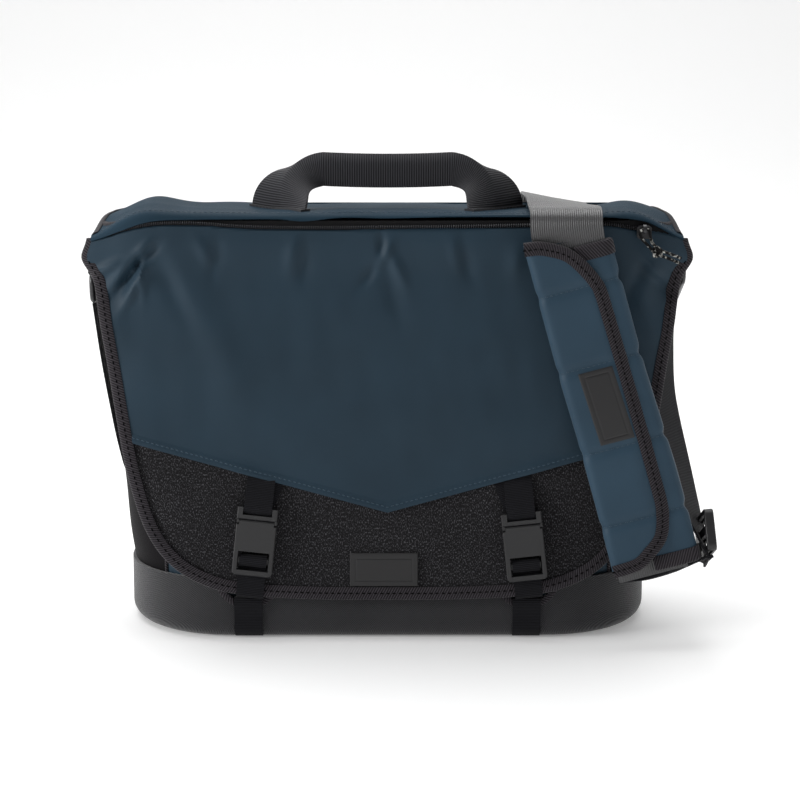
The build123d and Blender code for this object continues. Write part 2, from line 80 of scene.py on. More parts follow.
def mix(a: float, b: float, t: float) -> float:
    """Blend two numbers."""
    return a + (b - a) * t


def between(pairs: Sequence[tuple[float, float]], at: float) -> float:
    """Read a value from a table of (position, value) in rising order of position."""
    if at <= pairs[0][0]:
        return pairs[0][1]
    for (a, x), (b, y) in zip(pairs, pairs[1:]):
        if at <= b:
            return mix(x, y, (at - a) / (b - a)) if b > a else y
    return pairs[-1][1]


def smooth(low: float, high: float, value: float) -> float:
    """Rise from 0 at low to 1 at high with level ends."""
    t = min(1.0, max(0.0, (value - low) / (high - low)))
    return t * t * (3 - 2 * t)


def bump(value: float, middle: float, width: float) -> float:
    """A smooth hill of height 1."""
    return math.exp(-(((value - middle) / width) ** 2))


def grain(x: float, y: float, z: float, size: float) -> float:
    """Smooth noise from about -1 to 1 whose features are size millimetres across."""
    return noise.noise(Vector((x, y, z)) / size)


def steps(count: int) -> list[float]:
    """Evenly spaced values from 0 to 1."""
    return [k / count for k in range(count + 1)]


def curve_through(points: Sequence[Sequence[float]], per_span: int = 8) -> list[Vector]:
    """A smooth line through points.

    Args:
        points: the points that it passes through, all of the same dimension.
        per_span: how many pieces lie between two points.

    Returns:
        The points of the smooth line, ends included.
    """
    run = [Vector(p) for p in points]
    run = [2 * run[0] - run[1]] + run + [2 * run[-1] - run[-2]]
    line = []
    for a, b, c, d in zip(run, run[1:], run[2:], run[3:]):
        for k in range(per_span):
            t = k / per_span
            line.append(
                0.5 * (
                    2 * b + (c - a) * t + (2 * a - 5 * b + 4 * c - d) * t**2 + (3 * b - a - 3 * c + d) * t**3
                )
            )
    line.append(run[-2])
    return line


def running_lengths(line: Sequence[Vector]) -> list[float]:
    """The distance along a line to each of its points."""
    lengths = [0.0]
    for a, b in zip(line, line[1:]):
        lengths.append(lengths[-1] + (b - a).length)
    return lengths


def cut(line: Sequence[Vector], lengths: Sequence[float], count: int) -> list[Vector]:
    """The points that cut a line into count equal pieces, going by its running lengths."""
    out = []
    for k in range(count + 1):
        at = lengths[-1] * k / count
        i = min(max(bisect_left(lengths, at), 1), len(lengths) - 1)
        span = lengths[i] - lengths[i - 1]
        out.append(line[i - 1].lerp(line[i], (at - lengths[i - 1]) / span if span else 0.0))
    return out


def spaced(line: Sequence[Vector], step: float) -> list[Vector]:
    """The same line with its points about step millimetres apart."""
    lengths = running_lengths(line)
    return cut(line, lengths, max(1, round(lengths[-1] / step)))


def from_front(p: Vector) -> tuple[float, float]:
    """A point as it lies in flat cloth that hangs facing the front."""
    return p.x, p.z


def from_above(p: Vector) -> tuple[float, float]:
    """A point as it lies in flat cloth that faces up."""
    return p.x, p.y


def stepped(line: Sequence[Vector], count: int) -> list[Vector]:
    """The same line cut into count equal pieces."""
    return cut(line, running_lengths(line), count)


def tangents(line: Sequence[Vector]) -> list[Vector]:
    """The direction of a line at each of its points."""
    ends = [line[0], *line, line[-1]]
    return [(after - before).normalized() for before, after in zip(ends, ends[2:])]


# Finishes -----------------------------------------------------------------------------------
class Weave(Enum):
    """How a finish breaks up a surface."""

    PLAIN = "plain"
    RIBBED = "ribbed"
    TWILL = "twill"
    FLECKED = "flecked"
    MOULDED = "moulded"


def linear(code: str) -> tuple[float, float, float, float]:
    """A colour written as sRGB hex, as linear RGBA."""
    channels = [int(code[k : k + 2], 16) / 255 for k in (0, 2, 4)]
    return (*(c / 12.92 if c <= 0.04045 else ((c + 0.055) / 1.055) ** 2.4 for c in channels), 1.0)


def add_node(
    tree: bpy.types.NodeTree, kind: str, sockets: dict | None = None, **settings: object
) -> bpy.types.Node:
    """Add a node, set it up and link it.

    Args:
        tree: the node tree.
        kind: the node's type name.
        sockets: input name or index to a value, or to the output it is fed from.
        settings: the node's own options.

    Returns:
        The node.
    """
    node = tree.nodes.new(kind)
    for key, value in settings.items():
        setattr(node, key, value)
    for key, value in (sockets or {}).items():
        if isinstance(value, bpy.types.NodeSocket):
            tree.links.new(value, node.inputs[key])
        else:
            node.inputs[key].default_value = value
    return node


@dataclass(frozen=True)
class Finish:
    """A real finish: colour, the second colour of its threads, and the relief of its weave in millimetres."""

    name: str
    colour: str
    accent: str
    weave: Weave
    pitch: float
    depth: float
    slot: str
    roughness: float = 0.8
    sheen: float = 0.0
    angle: float = 0.0
    mapped: bool = True
    mottle: float = 0.08
    gloss: float = 0.2
    glow: float = 0.0

    def wave(
        self, tree: bpy.types.NodeTree, place: bpy.types.NodeSocket, degrees: float
    ) -> bpy.types.NodeSocket:
        """Ridges pitch apart that cross the surface at an angle, as a value from -1 to 1."""
        turn = math.radians(degrees)
        scale = 2000 * math.pi / self.pitch
        across = (
            math.cos(turn) * scale, math.sin(turn) * scale, 0.0 if self.mapped else math.sin(turn) * scale
        )
        phase = add_node(tree, "ShaderNodeVectorMath", {0: place, 1: across}, operation="DOT_PRODUCT")
        return add_node(tree, "ShaderNodeMath", {0: phase.outputs["Value"]}, operation="SINE").outputs[0]

    def relief(self, tree: bpy.types.NodeTree, place: bpy.types.NodeSocket) -> bpy.types.NodeSocket:
        """The weave's height from 0 to 1."""
        if self.weave in (Weave.FLECKED, Weave.MOULDED):
            stretch = (1.0, 0.45, 1.0) if self.weave is Weave.FLECKED else (1.0, 1.0, 1.0)
            turned = add_node(tree, "ShaderNodeMapping", {"Vector": place, "Scale": stretch})
            texture = {
                "Vector": turned.outputs[0], "Scale": 1000 / self.pitch, "Detail": 2.0, "Roughness": 0.6
            }
            return add_node(tree, "ShaderNodeTexNoise", texture, noise_dimensions="3D").outputs[0]
        height = self.wave(tree, place, self.angle)
        if self.weave is Weave.PLAIN:
            other = self.wave(tree, place, self.angle + 90)
            height = add_node(tree, "ShaderNodeMath", {0: height, 1: other}, operation="MULTIPLY").outputs[0]
        span = {"Value": height, "From Min": -1.0, "From Max": 1.0, "To Min": 0.0, "To Max": 1.0}
        return add_node(tree, "ShaderNodeMapRange", span).outputs[0]

    def material(self) -> bpy.types.Material:
        """Make the material once and reuse it after that."""
        made = bpy.data.materials.get(self.name)
        if made:
            return made
        made = bpy.data.materials.new(self.name)
        made.use_nodes = True
        tree = made.node_tree
        tree.nodes.clear()
        where = add_node(tree, "ShaderNodeTexCoord")
        place = where.outputs["UV" if self.mapped else "Object"]
        height = self.relief(tree, place)
        low, high = (0.54, 0.72) if self.weave is Weave.FLECKED else (0.0, 1.0)
        span = {"Value": height, "From Min": low, "From Max": high}
        share = add_node(tree, "ShaderNodeMapRange", span).outputs[0]
        colours = {"Factor": share, "A": linear(self.colour), "B": linear(self.accent)}
        threads = add_node(tree, "ShaderNodeMix", data_type="RGBA")
        for socket, value in zip([s for s in threads.inputs if s.enabled], colours.values()):
            if isinstance(value, bpy.types.NodeSocket):
                tree.links.new(value, socket)
            else:
                socket.default_value = value
        colour = [s for s in threads.outputs if s.enabled][0]
        # Broad soft patches about 45 mm across, as on cloth that has been handled.
        patches = add_node(
            tree, "ShaderNodeTexNoise", {"Vector": where.outputs["Object"], "Scale": 22.0, "Detail": 2.0}
        )
        spread = {"Value": patches.outputs[0], "From Min": 0.3, "From Max": 0.7}
        spread |= {"To Min": 1 - self.mottle, "To Max": 1 + self.mottle}
        amount = add_node(tree, "ShaderNodeMapRange", spread)
        worn = add_node(
            tree, "ShaderNodeVectorMath", {0: colour, "Scale": amount.outputs[0]}, operation="SCALE"
        )
        relief = add_node(
            tree, "ShaderNodeBump", {"Height": height, "Strength": 0.8, "Distance": self.depth * 0.001}
        )
        surface = {
            "Base Color": worn.outputs[0], "Roughness": self.roughness, "Specular IOR Level": self.gloss
        }
        surface |= {"Sheen Weight": self.sheen, "Sheen Roughness": 0.4, "Normal": relief.outputs[0]}
        if self.glow:
            surface |= {"Emission Color": linear("ffffff"), "Emission Strength": self.glow}
        shader = add_node(tree, "ShaderNodeBsdfPrincipled", surface)
        add_node(tree, "ShaderNodeOutputMaterial", {"Surface": shader.outputs[0]})
        return made


# The blue cloth is a close plain weave, so the eye sees a faint satin rather than threads.
SHELL = Finish(
    "coated_nylon_blue", "1a2a35", "263a48", Weave.PLAIN, 0.9, 0.09, "shell_cloth", 0.5, 0.08, gloss=0.18
)
# Dark yarn with pale flecks under a millimetre wide.
MELANGE = Finish(
    "melange_wool_blend", "131214", "606064", Weave.FLECKED, 0.65, 0.25, "melange_cloth", 0.95, 0.15
)
SIDE = Finish(
    "gusset_cloth_dark", "080709", "0d0b0e", Weave.PLAIN, 0.9, 0.06, "side_cloth", 0.8, 0.05, gloss=0.1
)
BASE = Finish(
    "base_cloth_basket", "121213", "3b3b3e", Weave.PLAIN, 1.6, 0.4, "base_cloth", 0.7, 0.4, 0, False
)
LINING = Finish("lining_cloth_grey", "5c5d60", "6a6b6f", Weave.PLAIN, 0.9, 0.05, "lining_cloth", 0.8, 0.1)
# Grosgrain: raised ribs that cross the tape.
TAPE = Finish("grosgrain_tape", "0e0c0f", "3a363b", Weave.RIBBED, 1.7, 0.5, "tape", 0.8, 0.12, 62)
WEBBING = Finish(
    "webbing_black", "111113", "2c2c30", Weave.RIBBED, 1.5, 0.4, "webbing", 0.42, 0.2, 0, gloss=0.9
)
PLASTIC = Finish(
    "acetal_black", "161618", "1a1a1c", Weave.MOULDED, 0.8, 0.03, "hardware", 0.45, 0.0, 0, False, 0.02,
    gloss=0.5
)
METAL = Finish(
    "ring_black_plated", "1c1c1f", "202023", Weave.MOULDED, 1.5, 0.01, "hardware", 0.35, 0.0, 0, False, 0.02,
    gloss=0.5
)
# The coil is painted a lighter grey than black so its teeth show as a row of pale dots: painted highlight.
COIL_PAINTED_HIGHLIGHT = Finish(
    "zip_coil_nylon_painted_highlight", "29292c", "333337", Weave.MOULDED, 1.5, 0.01, "coil", 0.3, 0.0, 0, False, 0.02,
    gloss=0.8
)
ZIP_TAPE = Finish("zip_tape_woven", "0c0c0d", "141416", Weave.TWILL, 1.0, 0.08, "tape", 0.85, 0.05, 45)
RUBBER = Finish(
    "rubber_patch", "100f11", "131214", Weave.MOULDED, 0.6, 0.02, "patch", 0.5, 0.0, 0, False, 0.03, gloss=0.5
)
CORD = Finish("cord_flecked", "0a0a0b", "d4d4ce", Weave.FLECKED, 2.4, 0.2, "cord", 0.8, 0.1, 0, False)
BOARD = Finish("board_covered", "4a4b4e", "525356", Weave.PLAIN, 1.0, 0.05, "board", 0.8, 0.1, 0, False)
HOOK = Finish("hook_and_loop", "0f0f11", "1e1e21", Weave.MOULDED, 1.1, 0.7, "hook_loop", 0.95, 0.3, 0, False)
BLUE_THREAD = Finish(
    "thread_blue", "2c3f4d", "3a4e5d", Weave.MOULDED, 0.5, 0.05, "shell_cloth", 0.6, 0.2, 0, False
)
DARK_THREAD = Finish(
    "thread_black", "030304", "070708", Weave.MOULDED, 0.5, 0.05, "tape", 0.8, 0.0, 0, False, gloss=0.05
)
# The pad's cloth is the flap's, in a lighter copy: painted light, as the pad is turned to the light.
PAD_CLOTH_PAINTED_LIGHT = Finish(
    "coated_nylon_pad_painted_light", "263a49", "304656", Weave.PLAIN, 0.9, 0.09, "shell_cloth", 0.5, 0.12, gloss=0.18
)
# The handle's webbing is the strap's, with ribs that run along it, its sheen cut and its colour painted
# lighter: painted light on the grip.
HANDLE_WEBBING_PAINTED_LIGHT = Finish(
    "webbing_handle_black_painted_light", "161618", "3a3a3f", Weave.RIBBED, 1.7, 0.5, "webbing", 0.7, 0.12, 90, gloss=0.2
)
# The other straps are the same webbing with ribs that run along them, in a darker copy with less sheen than
# the lit strap top: painted shade.
WEBBING_PAINTED_SHADE = Finish(
    "webbing_black_painted_shade", "0c0c0e", "1f1f23", Weave.RIBBED, 1.2, 0.25, "webbing", 0.8, 0.05, 90, gloss=0.1
)
# The cover and lip are the flap's blue cloth in a copy with no sheen and little gloss, so the cover's top
# under the key light reads darker: painted shade.
COVER_CLOTH_PAINTED_SHADE = Finish(
    "coated_nylon_cover_painted_shade", "1d2e3a", "243744", Weave.PLAIN, 0.8, 0.06, "shell_cloth", 0.6, 0.0, gloss=0.06
)
WEBBING_CORE = Finish(
    "webbing_inner_fold", "101012", "1c1c1f", Weave.RIBBED, 1.5, 0.2, "webbing", 0.8, 0.2, 0, False
)


# Making pieces ------------------------------------------------------------------------------
def finished(
    obj: bpy.types.Object, finish: Finish, thickness: float = 0.0, offset: float = -1.0
) -> bpy.types.Object:
    """Give a mesh its material, its wall and its shading."""
    obj.data.materials.append(finish.material())
    if thickness:
        wall = obj.modifiers.new("wall", "SOLIDIFY")
        wall.thickness, wall.offset, wall.use_quality_normals = thickness * 0.001, offset, True
        bpy.context.view_layer.update()
        evaluated = obj.evaluated_get(bpy.context.evaluated_depsgraph_get())
        solid = bpy.data.meshes.new_from_object(evaluated)
        obj.modifiers.clear()
        obj.data = solid
    obj.data.shade_smooth()
    obj.data.set_sharp_from_angle(angle=math.radians(45))
    return obj


def from_bmesh(name: str, bm: bmesh.types.BMesh) -> bpy.types.Object:
    """Turn a bmesh in millimetres into an object at the origin."""
    bmesh.ops.scale(bm, vec=(0.001, 0.001, 0.001), verts=bm.verts)
    mesh = bpy.data.meshes.new(name)
    bm.to_mesh(mesh)
    bm.free()
    obj = bpy.data.objects.new(name, mesh)
    bpy.context.scene.collection.objects.link(obj)
    return obj


def surface(
    name: str,
    rows: Grid,
    finish: Finish,
    facing: Callable[[Vector], Vector] | Sequence[float],
    thickness: float = 0.0,
    offset: float = -1.0,
    flat: Callable[[Vector], tuple[float, float]] | None = None,
    closed: bool = False,
) -> bpy.types.Object:
    """A sheet through a grid of points in millimetres.

    Args:
        name: the piece's name.
        rows: rows of points, all of the same length.
        finish: what it is made of.
        facing: the outward direction, or a function that gives it at a point.
        thickness: the wall added, in millimetres.
        offset: -1 puts the wall behind the sheet, 0 on both sides of it.
        flat: how a point maps to the flat cloth; by default along the rows and down the columns.
        closed: True joins the last column to the first.

    Returns:
        The piece.
    """
    across, down = len(rows[0]) - 1, len(rows) - 1
    middle = len(rows[0]) // 2
    along_u = running_lengths(rows[down // 2])
    along_v = running_lengths([row[middle] for row in rows])
    bm = bmesh.new()
    bmesh.ops.create_grid(bm, x_segments=across, y_segments=down, size=1.0)
    cells = {v: (round((v.co.x + 1) / 2 * across), round((v.co.y + 1) / 2 * down)) for v in bm.verts}
    cloth = bm.loops.layers.uv.new("cloth")
    for face in bm.faces:
        for loop in face.loops:
            i, j = cells[loop.vert]
            u, v = flat(rows[j][i]) if flat else (along_u[i], along_v[j])
            loop[cloth].uv = (u * 0.001, v * 0.001)
    for vert, (i, j) in cells.items():
        vert.co = rows[j][i]
    bm.normal_update()
    score = 0.0
    for face in bm.faces:
        centre = face.calc_center_median()
        outward = facing(centre) if callable(facing) else Vector(facing)
        score += face.normal.dot(outward) * face.calc_area()
    if score < 0:
        bmesh.ops.reverse_faces(bm, faces=bm.faces)
    if closed:
        bmesh.ops.remove_doubles(bm, verts=bm.verts, dist=0.01)
    return finished(from_bmesh(name, bm), finish, thickness, offset)


def ribbon(
    name: str,
    line: Sequence[Sequence[float]],
    normals: Sequence[Sequence[float]],
    width: float | Sequence[float],
    finish: Finish = WEBBING,
    thickness: float = 1.6,
    step: float = 4.0,
    ripple: float = 0.25,
) -> bpy.types.Object:
    """Webbing along a line, with its face turned as the normals say.

    Args:
        name: the piece's name.
        line: the points that its middle passes through.
        normals: the direction its face points in at each of them.
        width: one width, or one for each point.
        finish: what it is made of.
        thickness: how thick it is.
        step: the length of one strip of its mesh.
        ripple: how far it wanders from the exact line.

    Returns:
        The piece.
    """
    widths = list(width) if isinstance(width, Sequence) else [width] * len(line)
    joint = [Vector((*p, *n, w)) for p, n, w in zip(line, normals, widths)]
    dense = curve_through(joint, 10)
    centres = [Vector(v[:3]) for v in dense]
    lengths = running_lengths(centres)
    count = max(2, round(lengths[-1] / step))
    picked = cut(dense, lengths, count)
    middles = [Vector(v[:3]) for v in picked]
    rows, faces = [], []
    for k, (row, along) in enumerate(zip(picked, tangents(middles))):
        face = Vector(row[3:6]).normalized()
        side = along.cross(face).normalized()
        face = side.cross(along).normalized()
        fade = min(1.0, 4 * k / count, 4 * (count - k) / count)
        lift = ripple * fade * grain(k * step, 7.0, row[0], 38)
        faces.append(face)
        rows.append([middles[k] + side * row[6] * (u - 0.5) + face * lift for u in steps(8)])

    def outward(at: Vector) -> Vector:
        """The face direction at the nearest point of the middle line."""
        nearest = min(range(len(middles)), key=lambda n: (middles[n] - at).length_squared)
        return faces[nearest]

    return surface(name, rows, finish, outward, thickness, 0.0)


def away_from(points: Sequence[Vector]) -> Callable[[Vector], Vector]:
    """A function that gives the direction from the nearest of some points."""

    def outward(at: Vector) -> Vector:
        """The direction from the nearest of them."""
        return at - min(points, key=lambda p: (p - at).length_squared)

    return outward


def stitches(
    name: str,
    line: Sequence[Vector],
    facing: Callable[[Vector], Vector] | Sequence[float],
    finish: Finish,
    length: float = 2.8,
    gap: float = 1.0,
    radius: float = 0.42,
) -> bpy.types.Object:
    """A row of sewn stitches: one small bead of thread for each."""
    bm = bmesh.new()
    places = spaced(line, length + gap)
    for at, along in zip(places, tangents(places)):
        out = facing(at) if callable(facing) else Vector(facing)
        side = along.cross(out).normalized()
        out = side.cross(along).normalized()
        turn = Matrix((along * length / 2, side * radius, out * radius * 0.7)).transposed().to_4x4()
        bmesh.ops.create_icosphere(bm, subdivisions=1, radius=1.0, matrix=Matrix.Translation(at) @ turn)
    return finished(from_bmesh(name, bm), finish)


def tube(
    name: str, line: Sequence[Vector], radius: float, finish: Finish, sides: int = 8
) -> bpy.types.Object:
    """A round bead along an open line, closed at its ends."""
    ways = tangents(line)
    side = ways[0].orthogonal().normalized()
    rows = []
    for k, (at, along) in enumerate(zip(line, ways)):
        side = (side - along * side.dot(along)).normalized()
        other = along.cross(side)
        r = radius * (0.15 if k in (0, len(line) - 1) else 1.0)
        ring = [2 * math.pi * n / sides for n in range(sides + 1)]
        rows.append([at + (side * math.cos(t) + other * math.sin(t)) * r for t in ring])
    return surface(name, rows, finish, away_from(line), closed=True)


def slab(
    name: str,
    low: Sequence[float],
    high: Sequence[float],
    finish: Finish,
    round_by: float = 2.0,
    puff: float = 0.0,
) -> bpy.types.Object:
    """A soft-edged block between two corners whose broad faces may swell."""
    bm = bmesh.new()
    bmesh.ops.create_cube(bm, size=1.0)
    size = Vector(high) - Vector(low)
    for vert in bm.verts:
        vert.co = Vector(low) + Vector(((c + 0.5) * s for c, s in zip(vert.co, size)))
    bmesh.ops.bevel(
        bm, geom=bm.edges, offset=round_by, offset_type="OFFSET", segments=3,
        affect="EDGES", profile=0.5, material=-1,
    )
    if puff:
        bmesh.ops.subdivide_edges(
            bm, edges=[e for e in bm.edges if e.calc_length() > 20], cuts=12, use_grid_fill=True
        )
        thin = min(range(3), key=lambda k: size[k])
        wide = [k for k in range(3) if k != thin]
        centre = (Vector(low) + Vector(high)) / 2
        for vert in bm.verts:
            shape = 1.0
            for k in wide:
                shape *= max(0.0, 1 - (2 * (vert.co[k] - centre[k]) / size[k]) ** 4)
            side = (vert.co[thin] - centre[thin]) / (size[thin] / 2)
            vert.co[thin] += side * puff * (shape + 0.2 * grain(*vert.co, 30))
    return finished(from_bmesh(name, bm), finish)


def coat(node: str, finish: Finish) -> None:
    """Give a CAD node its material."""
    obj = bpy.data.objects[node]
    obj.data.materials.clear()
    obj.data.materials.append(finish.material())


def sweep(
    name: str,
    line: Sequence[Vector],
    inward: Sequence[Vector],
    back: Sequence[Vector] | Vector,
    section: Sequence[tuple[float, float]],
    finish: Finish,
    thickness: float = 0.6,
) -> bpy.types.Object:
    """Tape folded over an edge.

    Args:
        name: the piece's name.
        line: the edge.
        inward: at each of its points, the direction from the edge into the cloth.
        back: the direction from the cloth's face to its back, one or one for each point.
        section: the tape's own line from front to back, as (inward, back) distances.
        finish: what it is made of.
        thickness: how thick the tape is.

    Returns:
        The piece.
    """
    backs = [back] * len(line) if isinstance(back, Vector) else list(back)
    rows = [[at + n * a + d * b for a, b in section] for at, n, d in zip(line, inward, backs)]
    cores = [at + n * 3 + d * 1.5 for at, n, d in zip(line, inward, backs)]
    return surface(name, rows, finish, away_from(cores), thickness, -1.0)


def fold_over(depth: float, width: float = 9.0) -> list[tuple[float, float]]:
    """The section of a binding tape over an edge of the given thickness."""
    front = [(width, -0.45), (width - 0.7, -0.95), (width / 2, -1.15), (1.6, -1.05), (0.3, -0.6)]
    rear = [(0.3, depth + 0.6), (1.6, depth + 1.0), (width / 2, depth + 1.05), (width, depth + 0.7)]
    return front + [(-0.35, 0.6), (-0.35, depth - 0.5)] + rear


# Body ---------------------------------------------------------------------------------------
WALL_LOW, WALL_HIGH = 10.0, 300.5
SEAM_X = 160.0
WALL_THICK = 4.6


@dataclass(frozen=True)
class WallPlan:
    """The rounded plan of the body at one height."""

    half_w: float
    front: float
    back: float
    radius: float

    @staticmethod
    def at(z: float, inset: float = 0.0) -> WallPlan:
        """The plan at height z, inset by a distance."""
        t = (z - WALL_LOW) / (WALL_HIGH - WALL_LOW)
        half_w, front, back = mix(184.5, 203.0, t), mix(-75.4, -71.0, t), mix(75.4, 61.0, t)
        return WallPlan(half_w - inset, front + inset, back - inset, mix(74.0, 34.0, t) - inset)

    @staticmethod
    def lowered(at: Vector) -> float:
        """How far the mouth's edge dips at the ends and towards the back, for a point near the top."""
        dip = 2.8 * smooth(188, 203, abs(at.x)) + 7.0 * smooth(8, 56, at.y)
        return dip * smooth(250, 300, at.z)

    def depth(self, x: float) -> float:
        """How far the corner has turned in at x."""
        over = max(0.0, min(self.radius, abs(x) - (self.half_w - self.radius)))
        return self.radius - math.sqrt(self.radius**2 - over**2)

    def round_end(self, start_x: float, side: int, count: int) -> list[Vector]:
        """The end of the plan, from the front at start_x to the back at start_x."""
        corner = self.half_w - self.radius
        half = [(mix(start_x, corner, k / 40), 0.0) for k in range(40)] if start_x < corner else []
        first = math.asin(max(0.0, (start_x - corner) / self.radius))
        for k in range(31):
            turn = mix(first, math.pi / 2, k / 30)
            half.append((corner + self.radius * math.sin(turn), self.radius * (1 - math.cos(turn))))
        run = [Vector((side * x, self.front + d, 0)) for x, d in half]
        run += [Vector((side * x, self.back - d, 0)) for x, d in reversed(half)]
        return stepped(run, count)


@dataclass
class Body:
    """The cloth walls, their lining and what is sewn to them."""

    ride: str = "bag"

    def front_at(self, x: float, z: float, out: float = 0.0) -> Vector:
        """A point on the front wall."""
        plan = WallPlan.at(z)
        swell = 1.6 * math.sin(math.pi * (z - 10) / 290) * (1 - (x / 170) ** 2) + 0.5 * grain(x, z, 3, 45)
        swell *= 1 - bump(abs(x), 96, 34) * bump(z, 110, 45)
        return Vector((x, plan.front + plan.depth(x) - swell - out, z))

    def back_at(self, x: float, z: float, out: float = 0.0) -> Vector:
        """A point on the back wall."""
        plan = WallPlan.at(z)
        swell = 2.0 * math.sin(math.pi * (z - 10) / 290) * (1 - (x / 170) ** 2) + 0.7 * grain(x, z, 9, 50)
        at = Vector((x, plan.back - plan.depth(x) + swell + out, z))
        return at - Vector((0, 0, plan.lowered(at)))

    def build_walls(self) -> None:
        """Front, back and two gussets, with the seams between them."""
        heights = [mix(WALL_LOW, WALL_HIGH, t) for t in steps(44)]
        columns = [mix(-SEAM_X, SEAM_X, t) for t in steps(80)]
        front = [[self.front_at(x, z) for x in columns] for z in heights]
        back = [[self.back_at(x, z) for x in columns] for z in heights]
        pieces = [
            (surface("front_wall", front, SHELL, (0, -1, 0), WALL_THICK, flat=from_front), "front_panel"),
            (surface("back_wall", back, SIDE, (0, 1, 0), WALL_THICK, flat=from_front), "back_panel"),
        ]
        for side, name in ((-1, "left"), (1, "right")):
            rows = []
            for z in heights:
                run = WallPlan.at(z).round_end(SEAM_X, side, 52)
                row = []
                for k, p in enumerate(run):
                    t = k / 52
                    swell = 3.2 * math.sin(math.pi * t) * math.sin(math.pi * (z - 10) / 300)
                    swell -= 2.4 * bump(t, 0.5, 0.12) * smooth(120, 250, z)
                    swell += 1.1 * grain(p.y, z, side * 20, 34) * math.sin(math.pi * t)
                    droop = WallPlan.lowered(Vector((p.x, p.y, z)))
                    outward = Vector((p.x - side * 120, p.y, 0)).normalized()
                    row.append(Vector((p.x, p.y, z - droop)) + outward * swell)
                rows.append(row)
            facing = away_from([Vector((side * 120, 0, z)) for z in heights])
            pieces.append((surface(f"gusset_cloth_{name}", rows, SIDE, facing, WALL_THICK), f"gusset_{name}"))
            for place, wall in (("front", self.front_at), ("back", self.back_at)):
                seam = [wall(side * SEAM_X, z, 0.4) for z in heights]
                welt = tube(f"seam_{place}_{name}", seam, 1.3, TAPE)
                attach(welt, self.ride)
        for obj, node in pieces:
            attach(obj, self.ride)
            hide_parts(node)

    def build_mouth(self) -> None:
        """Tape over the walls' top edge, all the way round."""
        plan = WallPlan.at(WALL_HIGH)
        right = plan.round_end(0.0, 1, 110)
        left = plan.round_end(0.0, -1, 110)
        ring = spaced(right + left[::-1][1:], 4.0)
        line, inward = [], []
        for p in ring:
            droop = WallPlan.lowered(Vector((p.x, p.y, WALL_HIGH)))
            line.append(Vector((p.x, p.y, WALL_HIGH + 0.2 - droop)))
            inward.append(Vector((0, 0, -1)))
        backs = [Vector((-p.x * 0.25, -(p.y + 5), 0)).normalized() for p in ring]
        obj = sweep("mouth_binding", line, inward, backs, fold_over(4.8, 8.0), TAPE)
        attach(obj, self.ride)

    def build_inside(self) -> None:
        """Lining with its floor, laptop divider and organiser pocket."""
        rows = []
        for z in [mix(11.0, 297.0, t) for t in steps(24)]:
            plan = WallPlan.at(z, 5.2)
            loop = plan.round_end(0.0, 1, 60) + plan.round_end(0.0, -1, 60)[::-1][1:]
            at = [Vector((p.x, p.y, z)) for p in loop]
            rows.append([p - Vector((0, 0, WallPlan.lowered(p))) for p in at])
        bag_lining = surface(
            "lining_cloth", rows, LINING, lambda at: Vector((-at.x, -at.y, 0)), 0.7, -1.0, closed=True
        )
        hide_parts("lining")
        bottom = rows[0]
        half = len(bottom) // 2
        floor_rows = [
            [a.lerp(b, t) for t in steps(12)] for a, b in zip(bottom[:half], reversed(bottom[half:]))
        ]
        floor = surface("lining_floor", floor_rows, LINING, (0, 0, 1), 0.7)
        divider = slab("laptop_divider_pad", (-165, 28.4, 11.2), (165, 33.6, 250), LINING, 2.2, 0.5)
        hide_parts("laptop_divider")
        pocket = slab("organiser_pocket_cloth", (-140, -58.6, 11.2), (140, -57.0, 215), LINING, 0.5)
        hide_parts("organiser_pocket")
        edge = [Vector((x, -58.6, 215.3)) for x in (-140, -70, 0, 70, 140)]
        down = [Vector((0, 0, -1))] * 5
        hem = sweep("organiser_binding", edge, down, Vector((0, 1, 0)), fold_over(1.6, 7.0), TAPE)
        sides = []
        for side, name in ((-1, "left"), (1, "right")):
            low, high = sorted((side * 138.6, side * 140))
            sides.append(slab(f"organiser_side_{name}", (low, -64.6, 11.4), (high, -58.6, 213), LINING, 0.5))
        for obj in (bag_lining, floor, divider, pocket, hem, *sides):
            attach(obj, self.ride)

    def build_back_pocket(self) -> None:
        """A slip pocket on the back with a taped mouth."""
        rows = []
        for v in steps(30):
            z = mix(61, 209, v)
            row = []
            for u in steps(40):
                x = mix(-114, 114, u)
                rim = min(1.0, 12 * min(u, 1 - u), 10 * v)
                row.append(self.back_at(x, z, 0.3 + 2.6 * rim))
            rows.append(row)
        pocket = surface("back_pocket_cloth", rows, MELANGE, (0, 1, 0), 1.4, 1.0, flat=from_front)
        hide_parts("back_pocket")
        edge = [self.back_at(x, 209.4, 4.4) for x in [mix(-113, 113, t) for t in steps(30)]]
        down = [Vector((0, 0, -1))] * len(edge)
        hem = sweep("back_pocket_binding", edge, down, Vector((0, -1, 0)), fold_over(1.6, 8.0), TAPE)
        for obj in (pocket, hem):
            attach(obj, self.ride)

